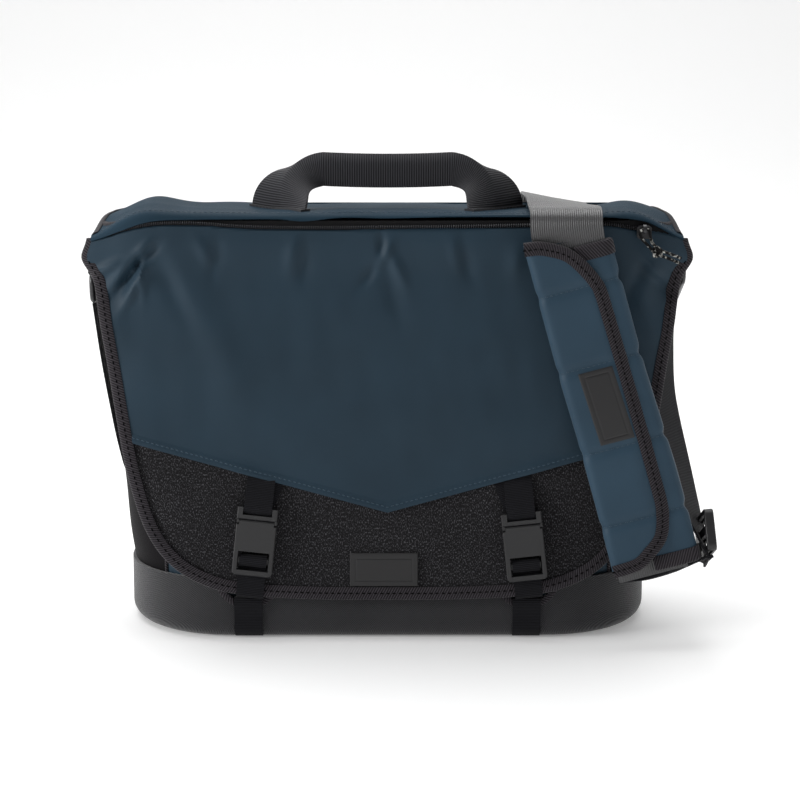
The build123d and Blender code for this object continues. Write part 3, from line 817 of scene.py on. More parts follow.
    def build_base_straps(self) -> None:
        """Notch bindings and the straps that run down and under the base."""
        for side, name in ((-1, "left"), (1, "right")):
            x = side * 100.0
            turns = [math.radians(mix(185.5, 354.5, t)) for t in steps(30)]
            rim = [Vector((x + 20.2 * math.cos(a), -80.0, 47 + 20.2 * math.sin(a))) for a in turns]
            away = [Vector((math.cos(a), 0, math.sin(a))) for a in turns]
            section = [(4.2, -0.3), (3.6, -1.0), (1.6, -1.25), (-0.3, -0.8), (-0.7, 0.4), (-0.7, 2.2)]
            section += [(-0.3, 3.2), (1.6, 3.6), (4.2, 3.3)]
            binding = sweep(f"notch_tape_{name}", rim, away, Vector((0, 1, 0)), section, TAPE)
            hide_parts(f"notch_binding_{name}")
            front = -80.8
            turn = [math.radians(mix(0, 90, t)) for t in steps(6)]
            path = [
                (x, -77.5, 30.6), (x, -81.0, 31.0), (x, -82.8, 29.2), (x, -82.8, 26.0), (x, -81.6, 21.0),
                (x, front, 16.0)
            ]
            path += [(x, front + 11.2 * (1 - math.cos(a)), 12 - 11.2 * math.sin(a)) for a in turn]
            path += [(x, -40, 0.8), (x, -2, 0.8)]
            normals = [(0, -0.1, 1), (0, -0.5, 0.9), (0, -1, 0.2), (0, -1, 0), (0, -1, -0.1), (0, -1, 0)]
            normals += [(0, -math.cos(a), -math.sin(a)) for a in turn]
            normals += [(0, 0, -1)] * 2
            strap = ribbon(f"base_webbing_{name}", path, normals, 20, WEBBING_PAINTED_SHADE, 1.5, 2.5, 0.0)
            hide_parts(f"base_strap_{name}")
            for obj in (binding, strap):
                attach(obj, self.ride)

    def build(self) -> None:
        """Make everything that stays with the bag's body."""
        coat("base_tub", BASE)
        coat("base_board", BOARD)
        for name in ("loop_pad_left", "loop_pad_right"):
            coat(name, HOOK)
        self.build_walls()
        self.build_mouth()
        self.build_inside()
        self.build_back_pocket()
        self.build_base_straps()


# Flap ---------------------------------------------------------------------------------------
FOLD_Z = 303.0
FLAT_X, END_R = 145.0, 220.0
COVER_BACK = 60.0
LIP_TURN = math.radians(82)


def end_sag(x: float) -> float:
    """How far the flap has turned back at x."""
    return END_R - math.sqrt(END_R**2 - max(0.0, abs(x) - FLAT_X) ** 2)


def chevron(x: float) -> float:
    """The height of the seam that points down in the middle."""
    return 95 + 49 * abs(x) / 177


LIP_EDGE = curve_through(
    [
        (-208, 288), (-200, 290.6), (-187, 295.5), (-172, 301.0), (-158, 303.6), (-130, 304.4), (-109, 304.6),
        (-77, 304.8), (-58, 303.2), (-31, 306.0), (2, 305.5), (49, 306.9), (92, 307.4), (150, 306.4),
        (177, 303.4),
        (189, 299.0), (202, 292.2), (208, 289),
    ],
    5,
)
CLOTH_EDGE = curve_through(
    [
        (-208, 288), (-196, 291), (-187, 294.1), (-179, 296.2), (-168, 298.6), (-154, 300.0), (-130, 299.8),
        (-102, 297.7), (-61, 296.7), (0, 297.2), (44, 297.4), (100, 298.6), (148, 299.4), (162, 298.2),
        (176, 295.8),
        (188, 295.0), (202, 291.4), (208, 289),
    ],
    5,
)


def dip(x: float, z: float) -> float:
    """How far the flap's upper corners hang down."""
    return 13.5 * smooth(168, 214, abs(x)) ** 1.3 * smooth(255, 302, z)


@dataclass(frozen=True)
class Crease:
    """One fold in the cloth: place, direction in degrees, length, width and height."""

    x: float
    z: float
    turn: float
    long: float
    wide: float
    high: float

    def lift(self, x: float, z: float) -> float:
        """How far it lifts the cloth at a point."""
        c, s = math.cos(math.radians(self.turn)), math.sin(math.radians(self.turn))
        along, across = (x - self.x) * c + (z - self.z) * s, (z - self.z) * c - (x - self.x) * s
        return self.high * math.exp(-((along / self.long) ** 2) - (across / self.wide) ** 2)


CREASES = (
    Crease(-183, 261, 53, 13, 3.0, -2.6), Crease(
        -188.5, 265, 53, 13, 3.2, 1.5
    ), Crease(-178, 256, 62, 16, 3.2, 2.2),
    Crease(
        -174.5, 273, 80, 5, 2.2, -2.0
    ), Crease(-172, 262, -88, 13, 2.6, 1.5), Crease(-166.5, 279, 46, 9, 2.8, -1.6),
    Crease(-171, 284, 46, 9, 3, 1.0), Crease(-151, 256, -66, 24, 7, -1.0), Crease(-140, 252, -66, 26, 9, 0.6),
    Crease(-120, 276, 80, 14, 5, -1.0), Crease(-196, 272, 20, 12, 5, 1.8), Crease(-128, 282, -60, 12, 5, 0.8),
    Crease(-3, 276, 62, 12, 3.4, 1.9), Crease(-9, 268, 48, 14, 4, -1.5), Crease(7, 270, -66, 13, 4, 1.3),
    Crease(-4, 286, 90, 9, 3.0, -1.2), Crease(4, 250, -75, 20, 6, -0.8), Crease(-66, 280, 78, 12, 5, 1.1),
    Crease(-58, 272, 84, 13, 5, -0.9), Crease(48, 281, -80, 12, 5, 1.0), Crease(55, 273, -72, 14, 5, -0.8),
    Crease(-118, 215, -70, 45, 16, 1.0), Crease(90, 275, 84, 13, 6, 0.9), Crease(188, 268, -52, 16, 5, 2.0),
    Crease(196, 252, -60, 15, 5, -2.2), Crease(176, 262, 66, 18, 6, -1.4), Crease(182, 240, -66, 22, 7, 1.4),
)


@dataclass
class FlapFront:
    """The front panel: two cloths, liner, edge tape, hem stitching and patch."""

    ride: str = "flap_front"

    def __post_init__(self) -> None:
        """Work out the edge line once."""
        side = [(211, 302.5), (215, 284), (207, 258), (202, 228), (192, 163), (184, 118), (172, 80)]
        side += [(153, 55), (126, 40), (96, 34.2), (48, 31.8), (0, 31.5)]
        self.edge = spaced([Vector(p) for p in curve_through(side, 16)], 2.0)
        self.by_height = [(p.y, p.x) for p in reversed(self.edge)]
        self.by_width = [(p.x, p.y) for p in reversed(self.edge) if p.y < 290]

    def half_width(self, z: float) -> float:
        """How far the flap reaches sideways at a height."""
        return between(self.by_height, z)

    def bottom(self, x: float) -> float:
        """The height of its lower edge at x."""
        return between(self.by_width, abs(x))

    def at(self, x: float, z: float, out: float = 0.0) -> Vector:
        """A point on the outer face, or out millimetres before it."""
        lift = 2.0 * sum(c.lift(x, z) for c in CREASES)
        calm = smooth(112, 165, z) * smooth(302, 286, z)
        lift += calm * (
            2.2 * (1 - (x / 200) ** 2) * math.sin(math.pi * (302 - z) / 230) + 1.2 * grain(x, z, 1, 60)
        )
        lift += 0.45 * smooth(100, 150, z) * grain(x * 1.6, z * 0.7, 4, 24)
        near = smooth(34, 4, self.half_width(z) - abs(x))
        lift -= near * 4.5 * bump(z, 258, 14) * smooth(150, 200, abs(x))
        lift += near * 2.2 * bump(z, 228, 18) * smooth(150, 195, abs(x))
        lift += near * 1.2 * math.sin(z / 19) * smooth(230, 150, z)
        y = -77.6 - 8 * (FOLD_Z - z) / 270 + end_sag(x)
        return Vector((x, y - lift - out, z - dip(x, z)))

    def upper(self, s: float, t: float, inset: float, tuck: float = 0.0) -> tuple[float, float]:
        """Across from -1 to 1 and down from 0 to 1, as x and z on the upper cloth."""
        x, z = s * 200.0, 200.0
        for _ in range(8):
            z = mix(302.5, chevron(x) - tuck, t)
            x = s * (self.half_width(z) - inset)
        return x, z

    def build_cloths(self) -> None:
        """The blue cloth with its hem, the melange cloth and the liner."""
        rows = []
        for t in steps(150):
            row = []
            for s in steps(240):
                x, z = self.upper(2 * s - 1, t, 4.0)
                over = z - chevron(x)
                hem = 0.9 * smooth(6.5, 4.5, over) - 0.55 * bump(over, 4.0, 0.8)
                hem += smooth(13, 2, over) * 1.4 * (bump(x, -101, 16) + bump(x, 104, 16))
                fold = z - dip(x, z) - between(CLOTH_EDGE, x)
                hem += 1.9 * smooth(0.6, -0.6, fold) * smooth(262, 293, z)
                row.append(self.at(x, z, hem))
            rows.append(row)
        blue = surface("flap_cloth_upper", rows, SHELL, (0, -1, 0), 0.9, flat=from_front)
        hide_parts("flap_upper")
        rows = []
        for t in steps(90):
            row = []
            for s in steps(180):
                x = 187.5 * math.sin(math.pi / 2 * (2 * s - 1))
                low = self.bottom(x) + 3.0
                row.append(self.at(x, mix(max(chevron(x) + 8, low + 0.2), low, t), -1.3))
            rows.append(row)
        wool = surface("flap_cloth_lower", rows, MELANGE, (0, -1, 0), 1.2, flat=from_front)
        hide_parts("flap_lower")
        centre = Vector((0.0, 172.0))
        loop = self.edge + [Vector((-p.x, p.y)) for p in reversed(self.edge[:-1])]
        loop += [Vector((x, 302.5)) for x in (-158, -105, -52, 0, 52, 105, 158, 211)]
        rows = []
        for t in steps(64):
            row = []
            for p in loop:
                at = centre.lerp(p, 0.985 * t)
                deep = 3.0 + 1.2 * sum(abs(c.lift(at.x, at.y)) for c in CREASES)
                row.append(self.at(at.x, at.y, -min(deep, 6.5)))
            rows.append(row)
        liner = surface("flap_liner_cloth", rows, LINING, (0, 1, 0), 0.6, -1.0, flat=from_front, closed=True)
        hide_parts("flap_liner")
        for obj in (blue, wool, liner):
            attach(obj, self.ride)

    def build_edges(self) -> None:
        """Binding tape and the stitch rows."""
        right = self.edge
        loop = [Vector((-p.x, p.y)) for p in right] + [p for p in reversed(right[:-1])]
        ways = tangents(loop)
        inside = [Vector((-w.y, w.x)) for w in ways]
        line, inward = [], []
        for p, n in zip(loop, inside):
            a, b = self.at(p.x, p.y), self.at(p.x + 6 * n.x, p.y + 6 * n.y)
            line.append(a)
            inward.append((b - a).normalized())
        binding = sweep("flap_edge_tape", line, inward, Vector((0, 1, 0)), fold_over(3.0), TAPE)
        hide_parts("flap_binding")
        sewn = [a + n * 4.7 - Vector((0, 1.35, 0)) for a, n in zip(line, inward)]
        row = stitches("flap_edge_stitches", sewn, (0, -1, 0), DARK_THREAD, 3.0, 1.4, 0.6)
        top = [self.upper(2 * s - 1, 1.0, 9.0) for s in steps(200)]
        hem = []
        for x, z in top:
            lifted = smooth(13, 2, 4.0) * 1.4 * (bump(x, -101, 16) + bump(x, 104, 16))
            hem.append(self.at(x, z + 4.0, 0.75 + lifted))
        hem_row = stitches("hem_stitches", hem, (0, -1, 0), BLUE_THREAD, 2.6, 1.0, 0.42)
        for obj in (binding, row, hem_row):
            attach(obj, self.ride)

    def build_patch(self) -> None:
        """A blank rubber patch with a thin sunk frame."""
        rows = []
        for v in steps(60):
            row = []
            for u in steps(110):
                x, z = mix(-26.8, 21.8, u), mix(40.95, 65.45, v)
                rim = min(x + 26.8, 21.8 - x, z - 40.95, 65.45 - z)
                row.append(self.at(x, z, 0.2 + 0.5 * smooth(0, 0.5, rim) - 0.3 * bump(rim, 4.2, 0.4)))
            rows.append(row)
        patch = surface("flap_patch_rubber", rows, RUBBER, (0, -1, 0), 1.2)
        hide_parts("flap_patch")
        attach(patch, self.ride)

    def build(self) -> None:
        """Make the front panel."""
        self.build_cloths()
        self.build_edges()
        self.build_patch()
        for name in ("hook_pad_left", "hook_pad_right"):
            coat(name, HOOK)


@dataclass
class TopCover:
    """The cover over the mouth, its rain lip and the cloth that hinges it to the back."""

    ride: str = "flap_top"

    def front_line(self, x: float) -> float:
        """The y of the cover's front edge."""
        return -74.5 + end_sag(x)

    def droop(self, x: float, y: float) -> float:
        """How far the ends hang down."""
        corner = mix(0.45, 1.0, smooth(-15, -72, y))
        return 19.0 * smooth(158, 216, abs(x)) ** 1.5 * corner

    def at(self, x: float, y: float) -> Vector:
        """A point on the cover's upper face."""
        level = between(((-76, 308.4), (-45, 308.0), (0, 304.6), (30, 301.8), (60, 298.2)), y)
        crown = 6.5 * bump(x, -168, 22) * bump(y, 0, 60) + 4.5 * bump(x, 176, 24) * bump(y, 0, 60)
        crown += 1.6 * bump(x, -118, 22) * bump(y, 10, 50) + 1.2 * grain(x, y, 2, 40) * smooth(-77, -60, y)
        crown -= 1.4 * bump(x, 124, 32) * bump(y, -20, 60) + 2.0 * bump(abs(x), 77, 40) * bump(y, -25, 40)
        crown -= 3.0 * bump(x, 148, 17) * smooth(-50, 45, y)
        return Vector((x, y, level + crown - self.droop(x, y)))

    def lip(self, x: float, t: float) -> Vector:
        """A point on the lip, from the cover's front edge at 0 to its own lower edge at 1."""
        turn = t * LIP_TURN
        top = self.at(x, self.front_line(x))
        fall = (top.z - between(LIP_EDGE, x)) / (1 - math.cos(LIP_TURN))
        return top + Vector((0, -6.4 * math.sin(turn), -fall * (1 - math.cos(turn))))

    def build(self) -> None:
        """Make the cover, lip, end tapes, stitching and rear hinge."""
        rows = []
        for v in steps(56):
            row = []
            for u in steps(200):
                x = (2 * u - 1) * mix(196, 208, v)
                row.append(self.at(x, mix(COVER_BACK, self.front_line(x), v)))
            rows.append(row)
        cover = surface("top_cover", rows, COVER_CLOTH_PAINTED_SHADE, (0, 0, 1), 2.6, flat=from_above)
        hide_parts("top_panel")
        across = [mix(-208, 208, u) for u in steps(220)]
        lip_rows = [[self.lip(x, t) for x in across] for t in steps(10)]
        lip = surface("rain_lip", lip_rows, COVER_CLOTH_PAINTED_SHADE, (0, -1, 0.6), 1.3, flat=lambda p: (p.x, p.y - p.z))
        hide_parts("top_lip")
        tapes = []
        for side, name in ((-1, "left"), (1, "right")):
            edge = [
                self.at(side * mix(196, 208, v), mix(COVER_BACK, self.front_line(208), v)) for v in steps(40)
            ]
            inner = [self.at(p.x - 8 * side, p.y) for p in edge]
            inward = [(q - p) / 8 for p, q in zip(edge, inner)]
            tapes.append(
                sweep(f"cover_tape_{name}", edge, inward, Vector((0, 0, -1)), fold_over(2.6, 4.5), TAPE)
            )
        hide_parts("top_binding")
        seam = [self.at(x, self.front_line(x) + 1.6) + Vector((0, 0, 0.25)) for x in across[4:-4]]
        row = stitches("cover_stitches", seam, (0, 0, 1), BLUE_THREAD, 2.8, 1.1, 0.4)
        for obj in (cover, *tapes, row):
            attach(obj, self.ride)
        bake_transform(lip)
        hinge_rows = []
        for v in steps(12):
            turn = v * math.pi / 2
            y, z = 57.5 + 6.4 * math.sin(turn), 298.0 - 12 * (1 - math.cos(turn))
            hinge_rows.append([Vector((mix(-170, 170, u), y, z)) for u in steps(60)])
        hinge = surface("rear_hinge_cloth", hinge_rows, SHELL, (0, 1, 0.5), 1.2, 1.0)
        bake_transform(hinge)


@dataclass
class Zip:
    """Tape, coil, slider and the corded pull."""

    ride: str = "flap_front"

    def build(self) -> None:
        """Make the zip and its pull cord."""
        rows = []
        across = [mix(-197, 197, u) for u in steps(160)]
        for v in steps(6):
            row = []
            for x in across:
                high = min(303.2, between(LIP_EDGE, x) + 0.6)
                row.append(Vector((x, -78.45 + end_sag(x), mix(between(CLOTH_EDGE, x) - 2.4, high, v))))
            rows.append(row)
        tape = surface("zip_tape_cloth", rows, ZIP_TAPE, (0, -1, 0), 0.6)
        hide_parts("zip_tape")
        bm = bmesh.new()
        pitch, reach = 1.55, 186
        size = Matrix.Diagonal((0.5, 1.05, 1.5, 1.0))
        for k in range(int(2 * reach / pitch)):
            x = -reach + k * pitch
            place = Matrix.Translation((x, -79.6 + end_sag(x), between(CLOTH_EDGE, x) + 1.9))
            bmesh.ops.create_icosphere(bm, subdivisions=1, radius=1.0, matrix=place @ size)
        coil = finished(from_bmesh("zip_teeth", bm), COIL_PAINTED_HIGHLIGHT)
        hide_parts("zip_coil")
        for obj in (tape, coil):
            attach(obj, self.ride)
        coat("zip_slider", METAL)
        route = [
            (204.0, -85.9, 274.4), (195.5, -86.1, 278.1), (187.0, -86.1, 280.9), (181.4, -86.0, 287.1),
            (176.2, -85.9, 292.1), (175.4, -85.8, 298.1), (182.6, -85.8, 298.3), (182.9, -85.9, 292.9),
            (184.2, -86.0, 288.5), (189.2, -86.1, 283.7), (197.0, -86.1, 281.1), (204.8, -85.9, 277.9),
        ]
        data = bpy.data.curves.new("pull_cord_line", "CURVE")
        data.dimensions, data.bevel_depth, data.bevel_resolution, data.resolution_u = "3D", 0.0011, 3, 8
        data.use_fill_caps = True
        spline = data.splines.new("NURBS")
        spline.points.add(len(route) - 1)
        for point, at in zip(spline.points, route):
            point.co = (*metres(at), 1.0)
        spline.order_u, spline.use_endpoint_u = 3, True
        cord = bpy.data.objects.new("pull_cord_line", data)
        bpy.context.scene.collection.objects.link(cord)
        data.materials.append(CORD.material())
        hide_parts("pull_cord")
        centre = Vector((188.0, -86.1, 282.4))
        turns = [2 * math.pi * k / 72 for k in range(73)]
        loop = []
        for a in turns:
            ring = 2.0 + 0.95 * math.cos(3 * a)
            off = (ring * math.cos(2 * a) * 0.95, 1.5 * math.sin(3 * a), ring * math.sin(2 * a) * 1.2)
            loop.append(centre + Vector(off))
        knot = tube("pull_cord_knot", loop, 1.15, CORD, 10)
        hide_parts("pull_knot")
        for obj in (cord, knot):
            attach(obj, "zip_pull")


@dataclass
class Handle:
    """The carry handle: webbing that stands on a slant, turns and folds into a grip."""

    def foot(self, side: int, u: float) -> Vector:
        """A point of the sewn end's line, from the front at -1 to the back at 1."""
        x, y = side * (75.5 + (18 if u < 0 else 22.5) * u), -25 + (35 if u < 0 else 27) * u
        return TopCover().at(x, y) + Vector((0, 0, 0.5))

    def grip(self, x: float, u: float) -> Vector:
        """A point of the folded grip."""
        fold = 3.7 * max(-1.0, min(1.0, u * 5))
        sag = 1.2 * (1 - (x / 46) ** 2)
        return Vector((x, -25 + fold, 344.8 - 23.0 * abs(u) ** 1.05 - sag))

    def leg(self, side: int, u: float, t: float) -> Vector:
        """A point of one leg, from the foot at 0 to the grip at 1."""
        start, end = self.foot(side, u), self.grip(side * 46, u)
        near, middle, far = (
            (55, -49, 322), (57, -32, 319)
        ), ((81, -25, 325), (66, -25, 343)), ((97, -4, 328), (67, -17, 344))
        low, high = (near, middle) if u < 0 else (middle, far)
        share = u + 1 if u < 0 else u
        first, second = (Vector(a).lerp(Vector(b), share) for a, b in zip(low, high))
        first.x, second.x = first.x * side, second.x * side
        h = (1 - t) ** 3, 3 * t * (1 - t) ** 2, 3 * t**2 * (1 - t), t**3
        return start * h[0] + first * h[1] + second * h[2] + end * h[3]

    def build(self) -> None:
        """Make the webbing, its core and the sewn feet."""
        rows = [[self.leg(-1, 2 * u - 1, t) for u in steps(24)] for t in steps(22)]
        rows += [[self.grip(mix(-46, 46, t), 2 * u - 1) for u in steps(24)] for t in steps(22)[1:-1]]
        rows += [[self.leg(1, 2 * u - 1, 1 - t) for u in steps(24)] for t in steps(22)]

        def facing(at: Vector) -> Vector:
            """The direction from the grip's middle line."""
            return at - Vector((max(-60.0, min(60.0, at.x)), -25, 325))

        handle = surface("handle_webbing", rows, HANDLE_WEBBING_PAINTED_LIGHT, facing, 1.7, 0.0)
        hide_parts("handle_grip", "handle_leg_left", "handle_leg_right")
        core = slab("grip_core", (-45, -27.6, 323.5), (45, -22.4, 342.5), WEBBING_CORE, 2.0)
        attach(core, "handle")
        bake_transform(handle)
        for side, name in ((-1, "left"), (1, "right")):
            line = [self.foot(side, u) + Vector((0, 0, 0.2)) for u in (-1, -0.5, 0, 0.5, 1)]
            foot = ribbon(f"handle_foot_webbing_{name}", line, [(0, 0, 1)] * 5, 7, HANDLE_WEBBING_PAINTED_LIGHT, 1.8, 4.0, 0.0)
            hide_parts(f"handle_foot_{name}")
            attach(foot, "flap_top")


# Strap --------------------------------------------------------------------------------------
@dataclass(frozen=True)
class Frame:
    """A plane on the bag: origin, across, up and out."""

    origin: Vector
    across: Vector
    up: Vector
    out: Vector

    @staticmethod
    def along(origin: Vector, up: Vector, side: Vector) -> Frame:
        """A frame from its up direction and the direction that its face turns from."""
        rise = up.normalized()
        across = rise.cross(side).normalized()
        return Frame(origin, across, rise, across.cross(rise))

    def at(self, a: float, b: float, c: float) -> Vector:
        """A point from its distances across, up and out."""
        return self.origin + self.across * a + self.up * b + self.out * c


PAD_TOP, PAD_END = Vector((125.0, -91.0, 293.0)), Vector((189.5, -97.0, 52.0))
PAD = Frame.along(PAD_TOP, PAD_TOP - PAD_END, Vector((0, -1, 0)))
RUN_TOP, RUN_END = Vector((213.3, -5.4, 240.2)), Vector((229.5, -84.0, 58.0))
RUN = Frame.along(RUN_END, RUN_TOP - RUN_END, Vector((1, 0, 0)))
RUN_LENGTH = (RUN_TOP - RUN_END).length
STRAP_LEVEL = 5.6


def on_pad(p: Vector) -> tuple[float, float]:
    """A point as it lies across and up the pad's own plane."""
    return (p - PAD_TOP).dot(PAD.across), (p - PAD_TOP).dot(PAD.up)


@dataclass
class Strap:
    """The shoulder strap from the left ring round the back, over the cover and down to the right ring."""

    def build(self) -> None:
        """Make each stretch of webbing."""
        pieces = []
        low = PAD.at(0, -2, STRAP_LEVEL)
        over = [(124, 45, 303.6), (124, 5, 307.4), (124, -35, 310.6), (124, -70, 311.8)]
        leans = [(0.2, 0.12, 1), (0.18, 0.1, 1), (0.1, 0.05, 1), (0.0, 0.0, 1)]
        top = ribbon("strap_over_cover", over, leans, 50)
        pieces.append((top, "strap_top", "flap_top"))
        inner = [PAD.at(0, b, STRAP_LEVEL) for b in (-2, -60, -130, -200, -247)]
        inside = ribbon("strap_in_pad", inner, [tuple(PAD.out)] * 5, [50, 46, 46, 46, 50])
        pieces.append((inside, "strap_front", "flap_front"))
        line = [(-213.6, 2, 239.2), (-209, 9, 196), (-203.5, 20, 152), (-200.5, 36, 126), (-194, 58, 118.5)]
        line += [(-181, 72, 117.5), (-146, 80.8, 118), (-90, 81.2, 118), (-30, 81.2, 118), (20, 81.0, 121)]
        line += [(66, 80.0, 141), (100, 78.0, 177), (118, 75.8, 215), (124, 73.9, 251), (124, 71.9, 288.2)]
        normals = [(-1, 0, -0.1)] * 4 + [(-0.9, 0.4, 0), (-0.7, 0.7, 0), (-0.15, 1, 0)] + [(0, 1, 0.05)] * 8
        back = ribbon("strap_round_back", line, normals, 50, WEBBING_PAINTED_SHADE, step=5.0, ripple=0.8)
        pieces.append((back, "strap_back", "bag"))
        run = [
            RUN.at(0, b, c) for b,
            c in ((0, -1), (35, -7), (80, -15), (130, -19.5), (170, -13), (RUN_LENGTH, -2))
        ]
        twist = [tuple(RUN.out + RUN.across * t) for t in (-0.05, -0.35, -0.5, -0.5, -0.3, -0.05)]
        right = ribbon("strap_down_right", run, twist, 50, WEBBING_PAINTED_SHADE, ripple=0.5)
        pieces.append((right, "strap_right", "bag"))
        lower = curve_through(
            [(164, -98.5, 47), (183, -100, 50), (205, -96, 55.5), (221, -82, 58.5), (229, -66, 53)], 8
        )
        upper = curve_through(
            [(214, -98.5, 62), (222, -102, 66), (227, -106, 69), (229, -107, 69.5), (229.5, -107, 67.9)], 8
        )
        turn_rows = [[a.lerp(b, t) for t in steps(8)] for a, b in zip(lower, upper)]
        turn = surface("strap_below_pad", turn_rows, WEBBING_PAINTED_SHADE, (0, -1, 0.2), 1.6, 0.0)
        pieces.append((turn, "strap_turn", "flap_front"))
        for obj, node, body in pieces:
            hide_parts(node)
            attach(obj, body)
        bend_line = [
            (124, -70, 311.8), (124, -80, 312.2), (124, -88.5, 311.4), (124, -94.4, 307.6), (124, -96.8, 301),
            tuple(low)
        ]
        bend_normals = [(0, 0, 1), (0, -0.1, 1), (0, -0.4, 0.9), (0, -1, 0.8), (0, -1, 0.2), tuple(PAD.out)]
        front = ribbon("strap_front_turn", bend_line, bend_normals, 50, step=2.0, ripple=0.0)
        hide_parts("strap_front_bend")
        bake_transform(front)
        rear_line = [
            (124, 45, 303.6), (124, 56, 302.2), (124, 65.5, 298.4), (124, 70.4, 293.4), (124, 71.9, 288.2)
        ]
        rear_normals = [(0.2, 0.12, 1), (0.16, 0.25, 1), (0.1, 0.8, 0.9), (0, 1, 0.3), (0, 1, 0.05)]
        rear = ribbon("strap_rear_turn", rear_line, rear_normals, 50, step=2.0, ripple=0.0)
        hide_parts("strap_rear_bend")
        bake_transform(rear)
        coat("tri_glide", PLASTIC)
        for side, lean in ((-1, 11.0), (1, -24.6)):
            name = "left" if side < 0 else "right"
            coat(f"side_ring_{name}", METAL)
            turn = Matrix.Rotation(math.radians(lean), 3, "X")
            local = [
                (-9.2, 37), (-6.5, 27), (-3.9, 16), (-3.3, 10), (-0.2, 6.8), (3.2, 9.6), (1.6, 13.6),
                (-2.6, 19), (-6.6, 31)
            ]
            faces = [(1, 0.2), (1, 0.2), (1, 0), (1, 0), (0.2, 1), (-1, 0.3), (-0.8, -0.8), (-1, 0), (-1, 0)]
            path = [Vector((side * 213, 0, 252)) + turn @ Vector((side * x, 0, z)) for x, z in local]
            out = [turn @ Vector((-side * x, 0, -z)) for x, z in faces]
            tab = ribbon(f"ring_tab_webbing_{name}", path, [tuple(n) for n in out], 38, WEBBING_PAINTED_SHADE, 1.4, 1.5, 0.0)
            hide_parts(f"ring_tab_{name}")
            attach(tab, "bag")


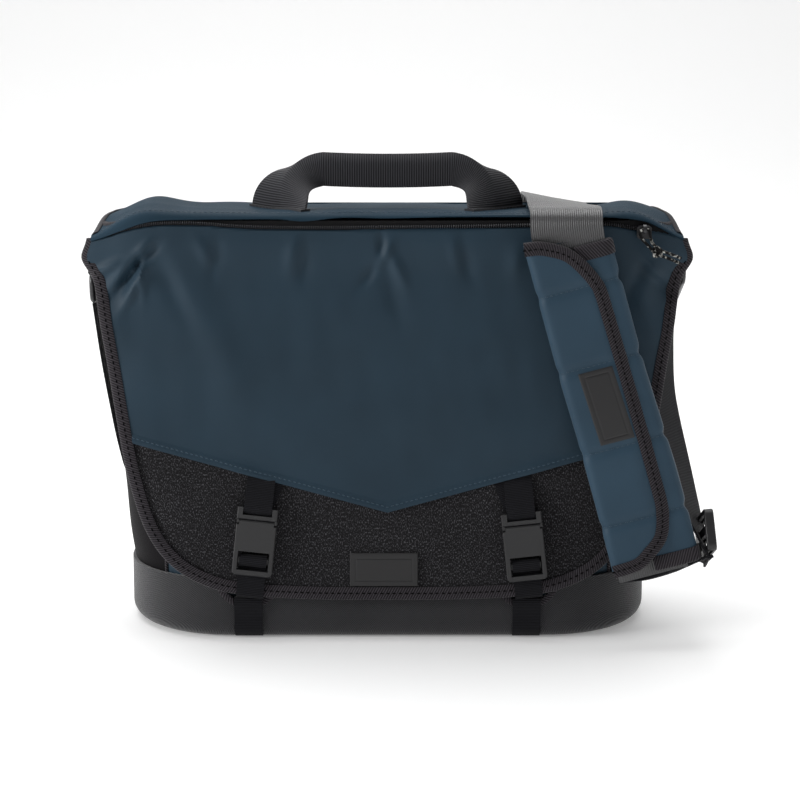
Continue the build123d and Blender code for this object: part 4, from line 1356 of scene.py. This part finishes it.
@dataclass
class StrapPad:
    """The shoulder pad: a quilted rear layer with a wrap folded over its front."""

    ride: str = "pad"
    quilt: tuple[float, ...] = (-34.9, -89.9, -150.4, -204.1)

    def puff(self, b: float) -> float:
        """How full the padding is at a distance down the pad, from 0 at a stitched row."""
        return 1 - max(bump(b, row, 3.4) for row in self.quilt)

    def left(self, b: float) -> float:
        """The rolled left edge."""
        table = [(-244, -28.0), (-190, -28.0), (-138, -28.6), (-93, -30.2), (5, -31.2)]
        return between(table, b) + 0.9 * (1 - self.puff(b))

    def right(self, b: float) -> float:
        """The rear layer's right edge."""
        table = [
            (-244, 34.6), (-233, 34.4), (-207, 34.5), (-177, 34.0), (-139, 32.0), (-102, 29.9), (-44, 29.0),
            (-7, 28.5)
        ]
        return between(table, b) - 1.8 * (1 - self.puff(b))

    def wrap_face(self, a: float, b: float) -> float:
        """How far the front of the wrap stands out."""
        roll = max(0.0, min(1.0, (self.left(b) + 6.0 - a) / 6.0))
        crown = 10.9 + 1.7 * self.puff(b) * smooth(24, 4, a) + 0.3 * grain(a, b, 2, 26)
        return crown - 5.6 * (1 - math.sqrt(1 - roll**2)) - 1.6 * smooth(6, 24, a)

    def build_wrap(self) -> None:
        """The front wrap with its curved, taped edge."""
        edge = [
            (-30.6, 5.2), (-19.4, 3.3), (-6.7, -2.6), (1.6, -9.1), (8.8, -19.7), (14.4, -31.2), (17.1, -43.4)
        ]
        edge += [
            (19.0, -90), (20.6, -140), (21.6, -180.6), (21.1, -202.7), (14.9, -222.0), (2.0, -233.5),
            (-9.0, -239.6)
        ]
        edge += [(-27.0, -241.0)]
        line = spaced([Vector(p) for p in curve_through(edge, 10)], 2.0)
        peak = max(range(len(line)), key=lambda k: line[k].x)
        upper = [(p.x, p.y) for p in line[: peak + 1]]
        lower = [(p.x, p.y) for p in reversed(line[peak:])]
        rows = []
        for t in steps(150):
            row = []
            for s in steps(44):
                first = mix(-31.2, 21.2, math.sin(math.pi / 2 * s))
                high, low = between(upper, first) - 2.0, between(lower, first) + 2.0
                b = mix(high, max(low, high - 240), t)
                a = first
                if s <= 0.3:
                    a = max(first, self.left(b) + 55 * s * 0.2) if s > 0 else self.left(b)
                row.append(PAD.at(a, b, self.wrap_face(a, b)))
            rows.append(row)
        wrap = surface("pad_wrap", rows, PAD_CLOTH_PAINTED_LIGHT, PAD.out, 2.6, flat=on_pad)
        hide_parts("pad_face")
        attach(wrap, self.ride)
        ways = tangents(line)
        places, inward = [], []
        for p, w in zip(line, ways):
            n = Vector((w.y, -w.x))
            inner = p + n * 8.5
            here, there = self.wrap_face(max(p.x, -25), p.y) + 0.1, self.wrap_face(
                max(inner.x, -25), inner.y
            ) + 0.1
            places.append(PAD.at(p.x, p.y, here))
            inward.append(PAD.across * n.x + PAD.up * n.y + PAD.out * (there - here) / 8.5)
        tape = sweep("pad_wrap_tape", places, inward, -PAD.out, fold_over(4.0), TAPE)
        sewn = [p + n * 4.7 + PAD.out * 1.35 for p, n in zip(places, inward)]
        row = stitches("pad_tape_stitches", sewn, PAD.out, DARK_THREAD, 2.6, 1.3, 0.6)
        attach(tape, self.ride)
        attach(row, self.ride)
        for k, b in enumerate(self.quilt):
            reach = max(p.x for p in line if abs(p.y - b) < 4) - 8.5
            sewn = [
                PAD.at(a, b, self.wrap_face(a, b) + 0.25)
                for a in [mix(self.left(b) + 2.0, reach, t) for t in steps(20)]
            ]
            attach(stitches(f"quilt_row_{k + 1}", sewn, PAD.out, BLUE_THREAD, 2.6, 1.1, 0.38), self.ride)

    def rear_section(self, b: float, out: float = 0.0) -> list[Vector]:
        """The rear layer's line at one height: over the front, round the right edge and back behind."""
        right, full = self.right(b), self.puff(b)
        section = [(2, 8.2), (8, 8.6 + 0.6 * full), (18, 8.8 + 0.9 * full), (right - 5, 8.6 + 0.7 * full)]
        section += [
            (right - 1.6, 7.6), (right, 5.0), (right - 0.6, 2.2), (right - 4, 0.6), (right - 12, 0.1),
            (0, 0.0)
        ]
        section += [(self.left(b) + 6, 0.2), (self.left(b) + 1.5, 1.2)]
        line = spaced([PAD.at(a, b, c) for a, c in curve_through([Vector(p) for p in section], 6)], 1.0)
        core = PAD.at((right - 30) / 2, b, 4.4)
        return stepped([p + (p - core).normalized() * out for p in line], 100)

    def build_rear(self) -> None:
        """The quilted rear layer, with tape on its two ends."""
        rows = [self.rear_section(mix(-7.5, -243.5, t)) for t in steps(140)]
        core = PAD.at(0, -125, 4.5)

        def facing(at: Vector) -> Vector:
            """The direction away from the pad's long middle line."""
            off = at - core
            return off - PAD.up * off.dot(PAD.up)

        def cloth(p: Vector) -> tuple[float, float]:
            """A point as it lies round the pad's edge and up it."""
            return on_pad(p)[0] + (p - PAD_TOP).dot(PAD.out), on_pad(p)[1]

        rear = surface("pad_rear", rows, PAD_CLOTH_PAINTED_LIGHT, facing, 2.2, flat=cloth)
        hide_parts("pad_back")
        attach(rear, self.ride)
        for name, b, way in (("top", -7.0, -1), ("bottom", -244.0, 1)):
            line = self.rear_section(b, 0.3)
            ways = tangents(line)
            backs = [w.cross(PAD.up).normalized() for w in ways]
            backs = [
                n if n.dot(core - p - PAD.up * (core - p).dot(PAD.up)) > 0 else -n for n,
                p in zip(backs, line)
            ]
            tape = sweep(
                f"pad_rear_tape_{name}", line, [PAD.up * way] * len(line), backs, fold_over(2.4, 10.5), TAPE
            )
            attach(tape, self.ride)
        for k, b in enumerate(self.quilt):
            sewn = [PAD.at(a, b, 8.85) for a in [mix(16.0, self.right(b) - 1.5, t) for t in steps(8)]]
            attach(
                stitches(f"rear_quilt_row_{k + 1}", sewn, PAD.out, BLUE_THREAD, 2.6, 1.1, 0.38), self.ride
            )

    def build_patch(self) -> None:
        """A blank rubber patch on the wrap."""
        rows = []
        for v in steps(90):
            row = []
            for u in steps(44):
                a, b = mix(-16.9, 7.6, u) + 3.1 * v, mix(-92.8, -146.0, v)
                rim = min(24.5 * u, 24.5 * (1 - u), 53.2 * v, 53.2 * (1 - v))
                raised = 0.15 + 0.45 * smooth(0, 0.5, rim) - 0.3 * bump(rim, 3.6, 0.4)
                row.append(
                    PAD.at(a, b, 12.35 - 1.6 * smooth(6, 24, a) + 0.35 * math.sin(math.pi * v) + raised)
                )
            rows.append(row)
        patch = surface("pad_patch", rows, RUBBER, PAD.out, 1.2)
        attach(patch, self.ride)

    def build(self) -> None:
        """Make the pad."""
        self.build_rear()
        self.build_wrap()
        self.build_patch()


# Buckles ------------------------------------------------------------------------------------
@dataclass
class Buckle:
    """One hooked buckle with the webbing above it and the catch loop below it."""

    name: str
    x: float
    z: float
    lean: float
    low: float

    def frame(self) -> Frame:
        """Its own plane on the flap."""
        slope, tilt = 8.0 / 270, math.radians(self.lean)
        origin = Vector((self.x, -77.6 - slope * (FOLD_Z - self.z), self.z))
        up = Vector((math.sin(tilt), slope * math.cos(tilt), math.cos(tilt))).normalized()
        out = Vector((0, -1, slope)).normalized()
        return Frame(origin, up.cross(out).normalized(), up, out)

    def webbing(
        self, name: str, run: Sequence[tuple[float, float, float]], faces: Sequence[tuple[float, float]],
        width: float
    ) -> bpy.types.Object:
        """Webbing from points and face directions in the buckle's own plane."""
        own = self.frame()
        line = [tuple(own.at(*p)) for p in run]
        normals = [tuple(own.up * v + own.out * w) for v, w in faces]
        return ribbon(f"{name}_{self.name}", line, normals, width, WEBBING_PAINTED_SHADE, 1.4, 1.5, 0.0)

    def build(self) -> None:
        """Make the webbing and finish the moulded parts."""
        for part in ("buckle_top", "buckle_plate", "catch_bar"):
            coat(f"{part}_{self.name}", PLASTIC)
        inner = 8.0 if self.x < 0 else -8.0
        front = [
            (0, 58, -1.9), (0, 51, -1.5), (0, 45, 0.6), (0, 35, 4.0), (0, 26.5, 5.9), (0, 22.9, 5.9),
            (0, 20.5, 4.4)
        ]
        faces = [(0, 1), (0.05, 1), (0.2, 1), (0.2, 1), (0.1, 1), (-0.2, 1), (-1, 0.4)]
        front_leg = self.webbing("buckle_strap_front", front, faces, 20)
        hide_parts(f"buckle_webbing_{self.name}")
        rear = [
            (inner, 58, -2.2), (inner * 0.85, 50, -1.9), (inner * 0.5, 37, 0.1), (0, 26, 0.9), (0, 22.9, 1.1),
            (0, 20.5, 2.6)
        ]
        rear_leg = self.webbing(
            "buckle_strap_rear", rear, [(0, 1), (0, 1), (0, 1), (0, 1), (0.2, 1), (1, 0.6)], 20
        )
        own = self.frame()
        bar = [own.at(a, 31.0, 5.45) for a in (-9, -3, 3, 9)]
        sewn = stitches(f"buckle_strap_stitches_{self.name}", bar, own.out, DARK_THREAD, 1.6, 0.5, 0.4)
        for obj in (front_leg, rear_leg, sewn):
            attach(obj, "flap_front")
        v = self.low
        loop = [
            (0, v, -8.0), (0, v, -3), (0, v + 0.8, 0.9), (0, v + 6, 1.7), (0, -18.5, 1.3), (0, -13.9, 1.3),
            (0, -11.2, 1.7)
        ]
        loop += [(0, -10.1, 3.6), (0, -11.2, 5.5), (0, -13.9, 5.9), (0, -16.6, 5.5), (0, -17.6, 3.9)]
        turn = [
            (-1, 0), (-1, 0.1), (-0.7, 0.7), (0, 1), (0, 1), (0, 1), (-0.5, 0.8), (-1, 0), (-0.5, -0.8),
            (0, -1), (0.5, -0.8), (1, 0)
        ]
        catch = self.webbing("catch_strap", loop, turn, 19.5)
        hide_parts(f"catch_loop_{self.name}")
        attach(catch, "bag")


# Studio -------------------------------------------------------------------------------------
@dataclass
class Studio:
    """Camera, floor, soft lights and pale surroundings."""

    def build(self) -> None:
        """Set up the picture."""
        scene = bpy.context.scene
        lens = bpy.data.cameras.new("camera")
        lens.lens, lens.sensor_width, lens.clip_end = 110.2, 36.0, 60.0
        camera = bpy.data.objects.new("camera", lens)
        camera.location = (0.009, -1.775, 0.527)
        camera.rotation_euler = (math.radians(78.3), 0.0, 0.0)
        scene.collection.objects.link(camera)
        scene.camera = camera
        rise = [
            Vector((1800 + 1600 * math.sin(a), 1600 * (1 - math.cos(a))))
            for a in [math.pi / 2 * t for t in steps(24)]
        ]
        profile = spaced([Vector((-6000, 0)), *rise, Vector((3400, 9000))], 50)
        bm = bmesh.new()
        bmesh.ops.create_grid(bm, x_segments=1, y_segments=len(profile) - 1, size=1.0)
        for vert in bm.verts:
            at = profile[round((vert.co.y + 1) / 2 * (len(profile) - 1))]
            vert.co = (vert.co.x * 9000, at.x, at.y)
        floor = from_bmesh("floor", bm)
        floor.data.shade_smooth()
        paper = Finish(
            "studio_paper", "f4f4f4", "f6f6f6", Weave.MOULDED, 400.0, 0.0, "board", 0.6, 0.0, 0, False, 0.0,
            glow=0.17
        )
        floor.data.materials.append(paper.material())
        world = bpy.data.worlds.new("pale_surroundings")
        world.use_nodes = True
        world.node_tree.nodes["Background"].inputs["Color"].default_value = (1.0, 1.0, 1.0, 1.0)
        world.node_tree.nodes["Background"].inputs["Strength"].default_value = 0.3
        scene.world = world
        lights = [
            ("key_above", (-0.3, 0.6, 2.2), (0.0, 0.0, 0.2), 2.4, 55.0),
            ("fill_left", (-2.3, -0.8, 0.8), (0.0, -0.08, 0.18), 0.8, 42.0),
            ("fill_right", (1.9, -0.6, 0.9), (0.0, 0.0, 0.2), 1.2, 5.0),
        ]
        for name, place, target, size, power in lights:
            lamp = bpy.data.lights.new(name, "AREA")
            lamp.energy, lamp.size = power, size
            obj = bpy.data.objects.new(name, lamp)
            obj.location = place
            obj.rotation_euler = (Vector(target) - Vector(place)).to_track_quat("-Z", "Y").to_euler()
            scene.collection.objects.link(obj)
        scene.view_settings.view_transform = "Standard"


def main() -> None:
    """Build the scene piece by piece."""
    logging.basicConfig(level=logging.INFO, format="%(name)s: %(message)s")
    parts = [
        Studio(), Zip(), Body(), FlapFront(), TopCover(), Handle(), Strap(), StrapPad(),
        Buckle("left", -94.3, 74.5, 6.1, -41.8), Buckle("right", 97.5, 71.0, -6.0, -38.3),
    ]
    for part in parts:
        before = len(bpy.data.objects)
        part.build()
        LOG.info("%s: %d objects", type(part).__name__, len(bpy.data.objects) - before)


if __name__ == "__main__":
    main()
